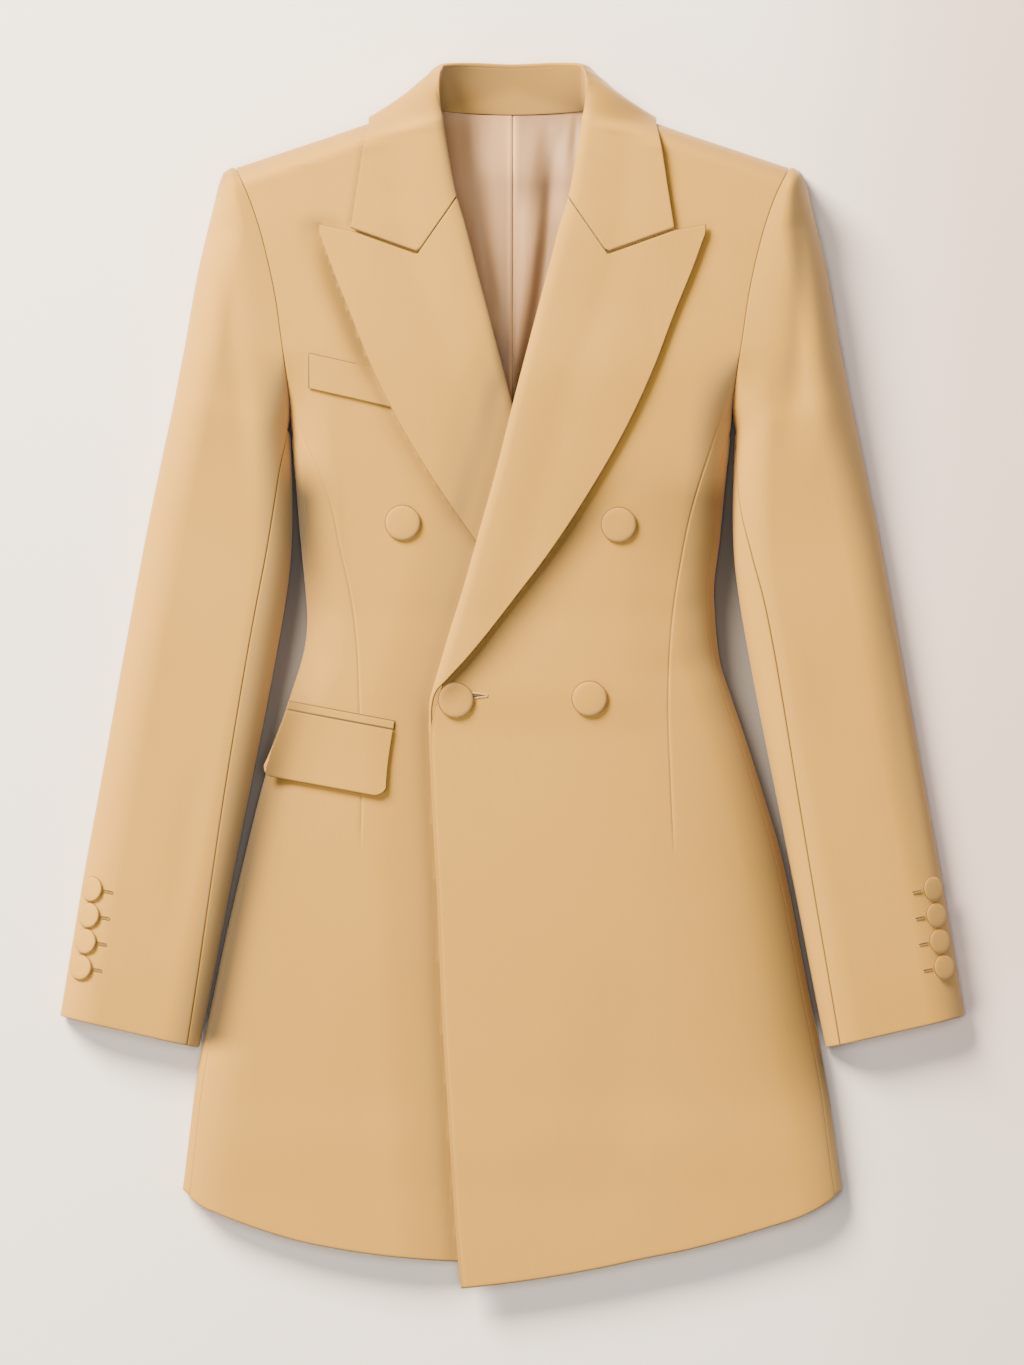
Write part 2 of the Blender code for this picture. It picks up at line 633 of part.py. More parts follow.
def sleeve(side):
    upper_rows, under_rows = [], []
    for section in sleeve_sections(side):
        width = (section[1] - section[0]).length
        foot, turn = min(SLEEVE_FOOT, width * 0.4), min(SLEEVE_TURN, width * 0.7)
        back_seam = min(BACK_SEAM, width * 0.6)
        start = section[3]
        row = [(start, None), (start + min(STRIP, width * 0.05), None)]
        row += [(mix(start, width - turn, t), None) for t in (0.2, 0.6)]
        row += [(width - turn * (1 - sin(radians(a))), None) for a in (0, 35, 65)]
        row.append((width, foot))
        row += [(width - foot * (1 - cos(radians(a))), foot * (1 - sin(radians(a)))) for a in (45, 90)]
        row.append((width - back_seam, 0))
        points = []
        for along, height in row:
            if height is None:
                height = sleeve_top(side, section, along)
            points.append(sleeve_point(side, section, along, height))
        upper_rows.append(points)

        last = width - back_seam - SEAM
        if section[5]:
            near = min(2 * SEAM, last * 0.5)
            row = [(mix(last, near, t), 0) for t in TAIL_COLUMNS]
        else:
            row = [(mix(last, foot, t), 0) for t in (0, 0.5, 1)]
            row += [(foot * (1 - sin(radians(a))), foot * (1 - cos(radians(a)))) for a in (45, 90)]
            row += [((start - SEAM) * t, None) for t in (0.2, 0.6)]
            row += [(start - SEAM - STRIP, None), (start - SEAM, None)]
        points = []
        for along, height in row:
            if height is None:
                height = max(sleeve_top(side, section, along), foot + 1 * MM)
            points.append(sleeve_point(side, section, along, height))
        under_rows.append(points)
    name = "left" if side == LEFT else "right"
    cloth("sleeve_upper_" + name, upper_rows, flip=side == RIGHT)
    cloth("sleeve_under_" + name, under_rows, flip=side == RIGHT)


# ---------------------------------------------------------------- pockets and buttons

def patch(corners, columns, rows, lift, level=0.0):
    """A four-cornered piece laid on the wearer's right front."""
    top_left, top_right, low_right, low_left = (Vector(c) * MM for c in corners)
    grid = []
    for r in range(rows + 1):
        row = []
        for c in range(columns + 1):
            upper = top_left.lerp(top_right, c / columns)
            lower = low_left.lerp(low_right, c / columns)
            spot = upper.lerp(lower, r / rows)
            inside = max(spot.x, side_edge(RIGHT, spot.y) + level)
            rise = on_front(RIGHT, inside, spot.y, lift).z
            row.append(Vector((spot.x, spot.y, rise)))
        grid.append(row)
    return grid


def pockets():
    cloth("pocket_flap", patch(FLAP, 6, 3, CLOTH + 3 * SEAM, FLAP_DROP), flip=True)
    cloth("pocket_jet", patch(JET, 6, 1, TRIM + 2 * SEAM, FLAP_DROP), TRIM, flip=True)
    cloth("chest_welt", patch(WELT, 5, 2, TRIM + 2 * SEAM), TRIM, flip=True)


def button(name, spot, normal, size):
    """A cloth-covered button: a turned disc with a soft crown, standing along the cloth's normal."""
    radius, depth = size / 2, size * 0.2
    profile = [(0, depth), (0.45 * radius, 0.97 * depth), (0.8 * radius, 0.86 * depth),
               (radius, 0.42 * depth), (0.85 * radius, 0), (0, 0)]
    mesh = bpy.data.meshes.new(name)
    edges = [(i, i + 1) for i in range(len(profile) - 1)]
    mesh.from_pydata([(r, 0, z) for r, z in profile], edges, [])
    piece = add_object(name, mesh)
    turned = piece.modifiers.new("turned", "SCREW")
    turned.steps = turned.render_steps = 14
    turned.use_merge_vertices = True
    turned.merge_threshold = 0.00001
    turned.use_smooth_shade = True
    piece.location = spot + normal * BUTTON_GAP
    piece.rotation_euler = normal.to_track_quat("Z", "Y").to_euler()


def front_buttons():
    for number, (x, y) in enumerate(FRONT_BUTTONS, 1):
        side = RIGHT if number == 1 else LEFT
        spot = on_front(side, x * MM, y * MM)
        normal = (on_front(side, x * MM, y * MM, 1 * MM) - spot).normalized()
        button("button_front_%d" % number, spot, normal, FRONT_BUTTON_SIZE)


def cuff_buttons(side):
    """Four buttons along each cuff, near the outer edge where the sleeve rounds over."""
    lower, upper = sleeve_sections(side)[1:3]
    for number, (x, y) in enumerate(CUFF_BUTTONS, 1):
        t = (y * MM - lower[1].y) / (upper[1].y - lower[1].y)
        section = tuple(mix(lower[i], upper[i], t) for i in range(4)) + (0.0, False)
        width = (section[1] - section[0]).length
        along = (Vector((x * MM, y * MM, 0)) - section[0]).dot((section[1] - section[0]).normalized())
        here = sleeve_point(side, section, along, sleeve_top(side, section, along))
        slope = sleeve_top(side, section, along + PROBE) - sleeve_top(side, section, along - PROBE)
        across = (section[1] - section[0]).normalized()
        normal = Vector((-side * across.x * slope, -across.y * slope, 2 * PROBE)).normalized()
        spot = Vector((side * x * MM, y * MM, here.z))
        name = "button_cuff_%s_%d" % ("left" if side == LEFT else "right", number)
        button(name, spot, normal, CUFF_BUTTON_SIZE)


for old in list(bpy.data.objects):
    bpy.data.objects.remove(old, do_unlink=True)
GARMENT = collection("double_breasted_blazer")
for wearer_side in (LEFT, RIGHT):
    front(wearer_side)
    side_panel(wearer_side)
    back(wearer_side)
    lining(wearer_side)
    lapel(wearer_side)
    sleeve(wearer_side)
    cuff_buttons(wearer_side)
collar()
pockets()
front_buttons()
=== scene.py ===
# %% [markdown]
# # A double breasted blazer, laid flat
# This lesson dresses the plain CAD frame of a long, camel coloured blazer. The jacket lies on its back with
# its fronts closed and its sleeves beside it. A tailor cuts it from flat cloth, presses it into shape and
# sews it along seams that we can follow one by one. We load the frame first, because every piece we make
# has to lie where the frame says.

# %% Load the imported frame
import bpy
import numpy as np
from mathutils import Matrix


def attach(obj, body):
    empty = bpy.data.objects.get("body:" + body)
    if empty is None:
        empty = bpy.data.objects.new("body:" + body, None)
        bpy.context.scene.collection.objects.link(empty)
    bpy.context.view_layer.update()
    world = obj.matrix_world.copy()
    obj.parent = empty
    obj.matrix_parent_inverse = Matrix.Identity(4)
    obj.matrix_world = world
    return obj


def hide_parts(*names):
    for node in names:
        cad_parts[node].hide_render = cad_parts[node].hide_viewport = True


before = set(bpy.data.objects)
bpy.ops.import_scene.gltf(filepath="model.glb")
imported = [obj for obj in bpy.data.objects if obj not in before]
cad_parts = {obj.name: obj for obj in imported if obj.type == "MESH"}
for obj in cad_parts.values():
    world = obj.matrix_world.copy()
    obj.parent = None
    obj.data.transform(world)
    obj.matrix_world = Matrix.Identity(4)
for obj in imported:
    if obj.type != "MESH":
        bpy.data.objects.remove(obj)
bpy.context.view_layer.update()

print("frame nodes:", len(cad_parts))

# %% [markdown]
# ## Sizes
# A tailor works from a short list of measurements. So do we. Here are the ones that hold for the whole
# jacket, in millimetres, and a few small functions that every later step uses.

# %% Wearer's sides, cloth and how the jacket lies
LEFT, RIGHT = 1, -1               # the wearer's left lies towards +X
SIDES = ((LEFT, "left"), (RIGHT, "right"))
CLOTH, LINING, TRIM = 2.0, 1.0, 1.4   # thickness of the suiting, of the lining, and of welt and jet
JOIN = 0.04                       # what is left between two pieces at a seam
FOOT, BOW = 7.0, 0.06             # height at which the side turns under, and how far the fronts bow
FRONT_SEAM = 5.0                  # the side seam lies this far in from the edge
SEAM_RUN_OUT = (145.0, 178.0)     # and comes out to it between these levels
LOWER_ARMHOLE, ARMPIT, ARMPIT_TOP = 160.0, 172.0, 228.0
SHOULDER_TIP, SHOULDER_SLOPE, SHOULDER_TURN = (193.5, 355.5), 0.333, 16.0
SHOULDER_TOP = 396.0
NECK_POINT, BACK_NECK = (56.0, 400.5), 392.3
NECK_LIFT, NECK_LIFT_Y, NECK_LIFT_X = 3.8, (336.0, 384.0), (106.0, 130.0)
DIP, DIP_REACH = 3.5, 45.0        # how far the under front sinks towards the top front's edge
STEP, OVERLAP_TOP, OVERLAP_FADE = 2.3, 200.0, 60.0
OVER_LAPEL_X, OVER_LAPEL_Y = (70.0, 130.0), (-45.0, -5.0)
FOLD_HEIGHT, FOLD_TAIL = 4.8, 5.5
BREAK = -6.7                      # the level at which the lapels start to roll
HEM_CORNER, HEM_BLEND = -360.0, -300.0


def mix(a, b, t):
    return a + (b - a) * t


def smooth(low, high, value):
    """0 below low, 1 above high, with an S between."""
    t = np.clip((value - low) / (high - low), 0.0, 1.0)
    return t * t * (3 - 2 * t)


def quarter(t):
    """Height of a quarter round, 0 at its foot and 1 at its top."""
    t = np.clip(t, 0.0, 1.0)
    return np.sqrt(1 - (1 - t) ** 2)


def crowded(count):
    """Steps from 0 to 1 that crowd towards both ends."""
    return (1 - np.cos(np.pi * np.linspace(0, 1, count + 1))) / 2


def curve(start, end, leave, arrive, t):
    """A smooth curve from start to end with a given slope at each."""
    return (start * (1 + 2 * t) * (1 - t) ** 2 + end * t * t * (3 - 2 * t)
            + leave * t * (1 - t) ** 2 - arrive * t * t * (1 - t))


def unit(vectors):
    return vectors / np.maximum(np.linalg.norm(vectors, axis=-1, keepdims=True), 1e-9)


def xyz(x, y, z):
    return np.stack(np.broadcast_arrays(x, y, z), axis=-1)


class Table:
    """A short table of sections, read smoothly between its rows by its first column."""

    def __init__(self, *rows):
        self.columns = rows[0]
        data = np.array(rows[1:], dtype=float)
        self.data = data[data[:, 0].argsort()]
        self.keys = self.data[:, 0]
        self.slopes = np.gradient(self.data, self.keys, axis=0)

    def at(self, name, key):
        column, keys = self.columns.index(name), self.keys
        key = np.clip(key, keys[0], keys[-1])
        i = np.clip(np.searchsorted(keys, key) - 1, 0, len(keys) - 2)
        span = keys[i + 1] - keys[i]
        t = (key - keys[i]) / span
        start, end = self.data[i, column], self.data[i + 1, column]
        leave, arrive = self.slopes[i, column] * span, self.slopes[i + 1, column] * span
        return curve(start, end, leave, arrive, t)


print("cloth %.1f mm thick, lining %.1f mm" % (CLOTH, LINING))

# %% [markdown]
# ## Sections
# Each table below has named columns, and a row for each level of the jacket, in millimetres. A smooth curve
# runs through the rows, so we can ask for the jacket's width or height at any level. We could instead have
# sculpted the jacket, but numbers are easier to check and to change.

# %% Tables of the jacket's outline and height
BODY = Table(
    ("y", "left", "right", "rise", "turn", "side_back"),
    (-360, 231.0, 231.2, 21, 34, 62),
    (-325, 226.0, 227.0, 22, 34, 60),
    (-297, 222.1, 223.5, 22, 34, 58),
    (-262, 216.0, 218.0, 23, 34, 56),
    (-227, 208.6, 210.2, 24, 32, 54),
    (-192, 201.8, 203.0, 25, 30, 52),
    (-157, 195.2, 194.9, 26, 30, 50),
    (-122, 187.3, 186.6, 27, 30, 48),
    (-80, 174.7, 176.0, 28, 30, 46),
    (-45, 163.5, 165.6, 29, 30, 44),
    (-10, 151.6, 154.4, 30, 30, 42),
    (7, 146.0, 148.8, 30, 30, 41),
    (25, 143.2, 144.8, 30, 30, 40),
    (42, 141.9, 143.9, 30, 30, 39),
    (60, 141.2, 145.1, 31, 30, 38),
    (95, 145.2, 148.6, 33, 30, 34),
    (130, 148.7, 151.6, 36, 30, 26),
    (172, 153.0, 155.0, 40, 30, 10),
    (193, 154.2, 155.9, 42, 30, 10),
    (217, 157.2, 158.6, 44, 30, 10),
    (238, 160.4, 161.4, 45, 30, 10),
    (263, 164.0, 164.9, 46, 30, 10),
    (287, 168.8, 169.8, 47, 30, 10),
    (313, 175.6, 176.5, 48, 30, 10),
    (334, 183.0, 183.8, 48, 30, 10),
    (355.5, 193.5, 193.5, 48, 30, 10),
)
FRONT_EDGE = Table(               # the top front's edge, then the line its lapel rolls on
    ("y", "x"),
    (-428.8, -36.1), (-402.2, -38.9), (-353.2, -42.4), (-297.2, -45.9), (-227.2, -50.1), (-157.2, -52.9),
    (-80.2, -57.1), (-31.2, -58.5), (-17.2, -57.8), (-6.7, -55.0), (7.4, -50.8), (31.9, -43.6),
    (52.9, -36.9), (98.4, -23.9), (143.9, -11.2), (189.4, 0.2), (238.4, 13.0), (283.9, 25.1), (315.4, 33.3),
    (332.9, 38.6), (360.9, 44.1), (381.9, 47.6), (402.9, 50.3),
)
LAPEL_EDGE = Table(               # each lapel's outer edge, from the break up to the peak
    ("y", "left", "right"),
    (-46, -56.1, -57), (-33, -56.5, -56), (-20, -56.1, -54), (-13.4, -54.5, -52), (-9, -51.8, -49),
    (-4, -46.6, -45.5), (2, -41.0, -42), (9.5, -34.0, -37.5), (24.9, -20.9, -25), (41.7, -7.6, -12),
    (58.5, 5.3, 1), (76.7, 19.3, 14), (94.8, 32.2, 26.3), (129.9, 55.0, 50.8), (175.4, 80.9, 78.8),
    (215.3, 99.1, 98.4), (250.3, 112.2, 112.4), (289.5, 127.8, 127.8), (308.4, 134.5, 134.5),
)
COLLAR_EDGE = Table(("y", "x"), (310.5, 113.0), (336.4, 108.9), (371.4, 103.3), (385.0, 100.5))
PEAK, GORGE, NOTCH, COLLAR_TIP = (134.8, 314.7), (38.9, 332.9), (66.2, 293.7), (113.0, 310.5)
HEM = Table(                      # both fronts and the back, from the hidden end outwards
    ("x", "left", "right", "back"),
    (-60, -430.5, -411.5, -402),
    (-36, -428.8, -411.2, -402),
    (0, -424.8, -411.5, -402),
    (36, -419.3, -410.6, -400),
    (65, -413.9, -408.5, -398),
    (93, -407.8, -405.7, -395),
    (121, -402.2, -401.5, -391),
    (149, -395.0, -395.9, -386),
    (177, -386.7, -387.5, -380),
    (205, -377.3, -377.0, -371),
    (219, -370.0, -370.7, -366),
    (231, -361.0, -361.0, -360),
)

SLEEVE = Table(                   # its edges, height and the place of each front seam, from cuff to head
    ("in_y", "in_x", "out_x", "out_y", "rise", "left", "right", "fullness"),
    (-260.8, 219.6, 317.0, -238.4, 25, 9.8, 8.2, 0), (-225.8, 212.6, 311.2, -203.4, 26, 10.8, 9.6, 0),
    (-157.2, 199.3, 299.6, -134.8, 27, 12.3, 12.8, 0), (-87.2, 185.5, 286.7, -64.8, 28, 14.4, 16.2, 0),
    (-17.2, 171.5, 274.1, 6.0, 29, 17.0, 18.8, 0), (16, 165.3, 267.8, 40, 30, 17.4, 19.3, 0),
    (49.4, 159.5, 261.5, 73.9, 31, 16.4, 18.9, 0), (80.9, 155.5, 255.2, 106.8, 32, 12.0, 16.9, 0),
    (115.9, 154.3, 248.2, 140.4, 35, 5.0, 12.4, 0), (143.9, 154.8, 242.6, 167.0, 38, 2.0, 7.6, 0),
    (170.5, 155.8, 237.0, 192.9, 41, 0.5, 1.6, 0), (190, 156, 233.2, 213.0, 42, 0, 0, 0.5),
    (215, 157, 228.8, 236.0, 44, 0, 0, 1.5), (245, 162, 224.0, 264.0, 45.3, 0, 0, 2.0),
    (275, 167, 219.8, 286.0, 46.5, 0, 0, 2.5), (305, 173, 214.3, 309.5, 47.7, 0, 0, 2.5),
    (330, 182, 209.2, 330.0, 48, 0, 0, 2.0), (346, 189, 204.6, 346.8, 48, 0, 0, 0.5),
    (352, 192, 201.4, 353.0, 48, 0, 0, 0.2), (354.6, 193, 197.2, 355.9, 48, 0, 0, 0.0),
)


def body_edge(x, y):
    """How far the body reaches at a level, on the side where x lies."""
    return np.where(x > 0, BODY.at("left", y), BODY.at("right", y))


def gap_width(x, y):
    """Width of the gap between a sleeve and the body beside it."""
    return np.maximum(SLEEVE.at("in_x", y) - body_edge(x, y), 0.0)


print("hips %.0f mm, waist %.0f mm" % (BODY.at("left", -227) + BODY.at("right", -227),
                                       BODY.at("left", 60) + BODY.at("right", 60)))

# %% [markdown]
# ## The lie of the fronts
# The jacket is closed, so its back lies on the table and its fronts bridge it like a low arch. At each side
# the cloth turns down in a quarter round, and at the shoulders it turns down too. One function gives this
# height, and every piece on the fronts is laid on it.

# %% Height of the fronts' outer face


def side_edge(side, y):
    return side * body_edge(side, y)


def shoulder_x(y):
    return SHOULDER_TIP[0] - (y - SHOULDER_TIP[1]) / SHOULDER_SLOPE


def shoulder_depth(x, y):
    line = SHOULDER_TIP[1] + (SHOULDER_TIP[0] - abs(x)) * SHOULDER_SLOPE
    return (line - y) / np.hypot(1, SHOULDER_SLOPE)


def neck_lift(x, y):
    return NECK_LIFT * smooth(*NECK_LIFT_Y, y) * (1 - smooth(*NECK_LIFT_X, abs(x)))


def front_height(x, y):
    edge = body_edge(x, y)
    rise = BODY.at("rise", y) * (1 + BOW * (1 - (x / edge) ** 2))
    round_over = quarter((edge - abs(x)) / BODY.at("turn", y))
    round_over = mix(round_over, 1.0, smooth(LOWER_ARMHOLE, ARMPIT_TOP, y))
    foot = FOOT + neck_lift(x, y)
    return foot + (rise - foot) * round_over * quarter(shoulder_depth(x, y) / SHOULDER_TURN)


print("the arch is %.1f mm high at the waist" % front_height(np.array(0.0), np.array(60.0)))

# %% [markdown]
# ## Creases
# Cloth keeps soft troughs and ridges from hanging, pressing and wearing. Each is a line of points with a
# height, below zero for a trough, and a width that may change on the way. A bell-shaped profile across the
# line keeps it soft. The darts that shape the waist are the same thing made narrow: a pressed seam sinks a
# little into the cloth.

# %% Creases as lines of points
DARTS = {                         # x, y, height and width of each armhole dart
    LEFT: ((152.9, 199.8), (145.2, 178.8), (138.2, 157.8), (131.2, 136.8), (124.2, 112.3), (117.2, 77.3),
           (112.3, 45.8), (109.5, 10.8), (108.8, -17.1), (110.2, -66.1), (113.0, -125.6)),
    RIGHT: ((-155.0, 192.8), (-148.8, 171.8), (-138.2, 147.3), (-127.7, 122.8), (-120.7, 91.3),
            (-112.3, 52.8), (-108.8, 24.8), (-106.8, -17.1), (-105.3, -59.1), (-105.3, -87.1),
            (-106.0, -122.1)),
}
SEAM_DEPTH, SEAM_WIDTH = 0.55, 0.55
HOLLOW, HOLLOW_REACH = 5.0, 11.0  # how far the under front sinks beside the top front's edge
LAPEL_HOLLOW = ((95.0, 180.0, 230.0, 310.0), (1.4, 1.9, 3.0, 3.0), (3.0, 3.6, 7.5, 10.0))   # y, depth, width
LAPEL_HOLLOW_INSIDE = 18.0        # and its width beneath the lapel
SOFT_FOLDS = {                    # x, y, height, width
    LEFT: (
        ((150, 20, 0.0, 12), (128, 10, -0.8, 13), (95, -2, -0.5, 15), (60, -8, 0.0, 16)),
        ((140, 62, 0.0, 9), (124, 58, 0.5, 10), (100, 62, 0.0, 12)),
        ((205, -330, 0.0, 20), (170, -200, 1.2, 24), (150, -100, 0.0, 20)),
        ((60, -400, 0.0, 30), (72, -280, -0.9, 34), (80, -150, 0.0, 30)),
        ((120, 330, 0.0, 16), (132, 290, -0.7, 18), (138, 240, 0.0, 16)),
    ),
    RIGHT: (
        ((-150, 24, 0.0, 12), (-126, 14, -0.6, 13), (-98, 6, 0.0, 15)),
        ((-205, -330, 0.0, 20), (-178, -220, 1.0, 24), (-150, -100, 0.0, 20)),
        ((-100, -400, 0.0, 28), (-96, -300, -0.8, 32), (-90, -190, 0.0, 28)),
        ((-128, 330, 0.0, 16), (-138, 280, -0.8, 18), (-142, 230, 0.0, 16)),
    ),
}


def flowing(line, step=9.0):
    """The same line with points close together, on a smooth curve."""
    line = np.array(line, dtype=float)
    run = np.concatenate([[0], np.cumsum(np.hypot(*np.diff(line[:, :2], axis=0).T))])
    names = ("run",) + tuple("c%d" % n for n in range(line.shape[1]))
    table = Table(names, *np.column_stack([run, line]))
    stops = np.linspace(0, run[-1], max(3, int(run[-1] / step)))
    return np.column_stack([table.at(name, stops) for name in names[1:]])


def creased(x, y, lines):
    """Height that the creases add at each point."""
    total = np.zeros(np.broadcast(x, y).shape)
    for line in lines:
        nearest, height = np.full(total.shape, np.inf), np.zeros(total.shape)
        for (x0, y0, h0, w0), (x1, y1, h1, w1) in zip(line, line[1:]):
            dx, dy = x1 - x0, y1 - y0
            t = np.clip(((x - x0) * dx + (y - y0) * dy) / (dx * dx + dy * dy), 0, 1)
            away = np.hypot(x - x0 - t * dx, y - y0 - t * dy)
            closer = away < nearest
            nearest = np.where(closer, away, nearest)
            height = np.where(closer, mix(h0, h1, t) * np.exp(-(away / mix(w0, w1, t)) ** 2), height)
        total += height
    return total


def seam_line(points, depth=SEAM_DEPTH, width=SEAM_WIDTH, fade=3):
    """A pressed seam, which runs out over its last points."""
    rows = flowing([(x, y, -depth, width) for x, y in points])
    rows[-fade:, 2] *= np.linspace(1, 0, fade)
    return rows


FRONT_CREASES = {side: [flowing(line, 18) for line in lines] for side, lines in SOFT_FOLDS.items()}
FRONT_SEAMS = {side: [seam_line(line)] for side, line in DARTS.items()}
print("folds: %d on the left front, %d on the right" % (len(FRONT_CREASES[LEFT]), len(FRONT_CREASES[RIGHT])))

# %% [markdown]
# ## One front on the other
# The wearer's left front is on top. It steps up over the right front's lapel, and the right front sinks a
# little towards the edge that lies on it. It also has a hollow along its own lapel's edge, so that the lapel
# stands clear of it. We add all this to the arch, and get the outer face of each front.

# %% Outer face of each front


def under_lapel(x, y):
    """Depth of the hollow in the wearer's right front, along and beneath its lapel's edge."""
    depth, width = np.interp(y, *LAPEL_HOLLOW[:2]), np.interp(y, LAPEL_HOLLOW[0], LAPEL_HOLLOW[2])
    past = -x - LAPEL_EDGE.at("right", np.minimum(y, PEAK[1]))
    away = past / np.where(past > 0, width, LAPEL_HOLLOW_INSIDE)
    return depth * np.exp(-away ** 2) * (1 - smooth(PEAK[1] - 6, PEAK[1] + 8, y))


def front_face(side, x, y, seams=False, hollow=True):
    """Height of one front's outer face, with its seams and the hollow beside the lapel if wanted."""
    height = front_height(x, y) + creased(x, y, FRONT_CREASES[side])
    if seams:
        height = height + creased(x, y, FRONT_SEAMS[side])
    edge = FRONT_EDGE.at("x", y)
    overlap = 1 - smooth(OVERLAP_TOP, OVERLAP_TOP + OVERLAP_FADE, y)
    if side == RIGHT:
        sunk = DIP * smooth(edge - DIP_REACH, edge, x)
        sunk = sunk + HOLLOW * np.exp(-np.maximum(edge - x, 0) / HOLLOW_REACH)
        return height - sunk * overlap - (under_lapel(x, y) if hollow else 0.0)
    over_lapel = smooth(*OVER_LAPEL_Y, y) * (1 - smooth(*OVER_LAPEL_X, x))
    return height + STEP * overlap * over_lapel


def on_front(side, x, y, lift=0.0, probe=0.5):
    """Points on a front's outer face, moved out along its normal."""
    x, y = np.broadcast_arrays(np.asarray(x, float), np.asarray(y, float))
    slope_x = (front_face(side, x + probe, y) - front_face(side, x - probe, y)) / (2 * probe)
    slope_y = (front_face(side, x, y + probe) - front_face(side, x, y - probe)) / (2 * probe)
    normal = unit(xyz(-slope_x, -slope_y, 1.0))
    return xyz(x, y, front_face(side, x, y)) + normal * np.asarray(lift)[..., None]


print("fronts rise to %.1f mm at the chest" % front_face(LEFT, np.array(60.0), np.array(250.0)))

# %% [markdown]
# ## Shade in the narrow places
# Light hardly gets into the narrow places: between a sleeve and the body, along the edge of a leaf that lies
# on the cloth, and just over the shoulders. A few lamps don't show them as dark as they are. So we work
# out a shade from 0 to 1 for any place on the jacket, keep it with each point, and let the finishes darken
# with it. An ambient occlusion node could do the same, but it would darken the table round the jacket too.

# %% How far the cloth is in shade
GAP_REACH = 16.0                  # a gap much wider than this lets the light in
SLEEVE_SHADE_TOP = (120, 160)     # levels between which the shade beside the sleeves fades
LEFT_SHADE, LEFT_SHADE_LEAST, LEFT_SHADE_REACH, LEFT_SHADE_Y = 0.7, 0.45, 40, (-340, -240)
RIGHT_SHADE, RIGHT_SHADE_MOST, RIGHT_SHADE_REACH, RIGHT_SHADE_Y = 1.1, 0.95, 20, (-268, -250)
LEFT_LAPEL_SHADE, LEFT_LAPEL_REACH, LEFT_LAPEL_Y = (0.42, 0.76), (7, 9, 14), (-30, 0, 95, 165)
RIGHT_LAPEL_SHADE = (85, 110, 170, 200, 225, 290, 306), (0, 0.34, 0.25, 0.2, 0.6, 0.6, 0.35)   # y, strength
RIGHT_LAPEL_REACH = (270, 312), (12, 3.5)    # y, reach
COLLAR_SHADE, COLLAR_SHADE_REACH = 0.35, 3
OVERLAP_SHADE, OVERLAP_SHADE_REACH, OVERLAP_SHADE_FADE = 0.3, 9, 25
SHOULDER_SHADE, SHOULDER_SHADE_REACH, SHOULDER_SHADE_FROM = 0.24, (4, 15), 300


def falling(past, reach, power=2.0, slack=0.3):
    """1 at an edge, falling off with the distance past it, and 0 on its near side."""
    return np.exp(-(np.maximum(past, 0) / reach) ** power) * (past > -slack)


def painted_shade(x, y):
    """How far the cloth is in shade: beneath a sleeve or an edge that lies on it, from 0 to 1."""
    below_armpit = 1 - smooth(*SLEEVE_SHADE_TOP, y)
    near = np.exp(-(gap_width(x, y) / GAP_REACH) ** 2) * below_armpit
    within = BODY.at("left", y) - x
    left = LEFT_SHADE * np.maximum(near, LEFT_SHADE_LEAST) * smooth(*LEFT_SHADE_Y, y) * below_armpit
    left = left * falling(within, LEFT_SHADE_REACH, 1.2, 0.5)
    within = np.minimum(BODY.at("right", y), SLEEVE.at("in_x", y)) + x
    right = RIGHT_SHADE * near * smooth(*RIGHT_SHADE_Y, y) * falling(within, RIGHT_SHADE_REACH, slack=0.5)
    side = np.where(x > 0, left, np.minimum(right, RIGHT_SHADE_MOST))

    past = x - LAPEL_EDGE.at("left", y)
    grown, full, reach = LEFT_LAPEL_REACH
    left_lapel = mix(*LEFT_LAPEL_SHADE, smooth(0, grown, past))
    left_lapel = left_lapel * falling(past - full, reach, 1.4, full + 0.3)
    left_lapel = left_lapel * smooth(*LEFT_LAPEL_Y[:2], y) * (1 - smooth(*LEFT_LAPEL_Y[2:], y))
    right_lapel = falling(-x - LAPEL_EDGE.at("right", y), np.interp(y, *RIGHT_LAPEL_REACH))
    right_lapel = right_lapel * np.interp(y, *RIGHT_LAPEL_SHADE) * (y < PEAK[1])
    collar = COLLAR_SHADE * falling(-x - COLLAR_EDGE.at("x", y), COLLAR_SHADE_REACH)
    collar = collar * (y > COLLAR_TIP[1] + 1) * (y < COLLAR_EDGE.keys[-1])
    overlap = OVERLAP_SHADE * falling(FRONT_EDGE.at("x", y) - x, OVERLAP_SHADE_REACH)
    overlap = overlap * (1 - smooth(BREAK - OVERLAP_SHADE_FADE, BREAK, y))
    shoulder = 1 - smooth(*SHOULDER_SHADE_REACH, shoulder_depth(x, y))
    shoulder = SHOULDER_SHADE * shoulder * (y > SHOULDER_SHADE_FROM)
    return np.max([side, left_lapel, right_lapel, collar, overlap, shoulder], axis=0)


print("shade at the waist's edge: %.2f" % painted_shade(np.array(-145.0), np.array(60.0)))
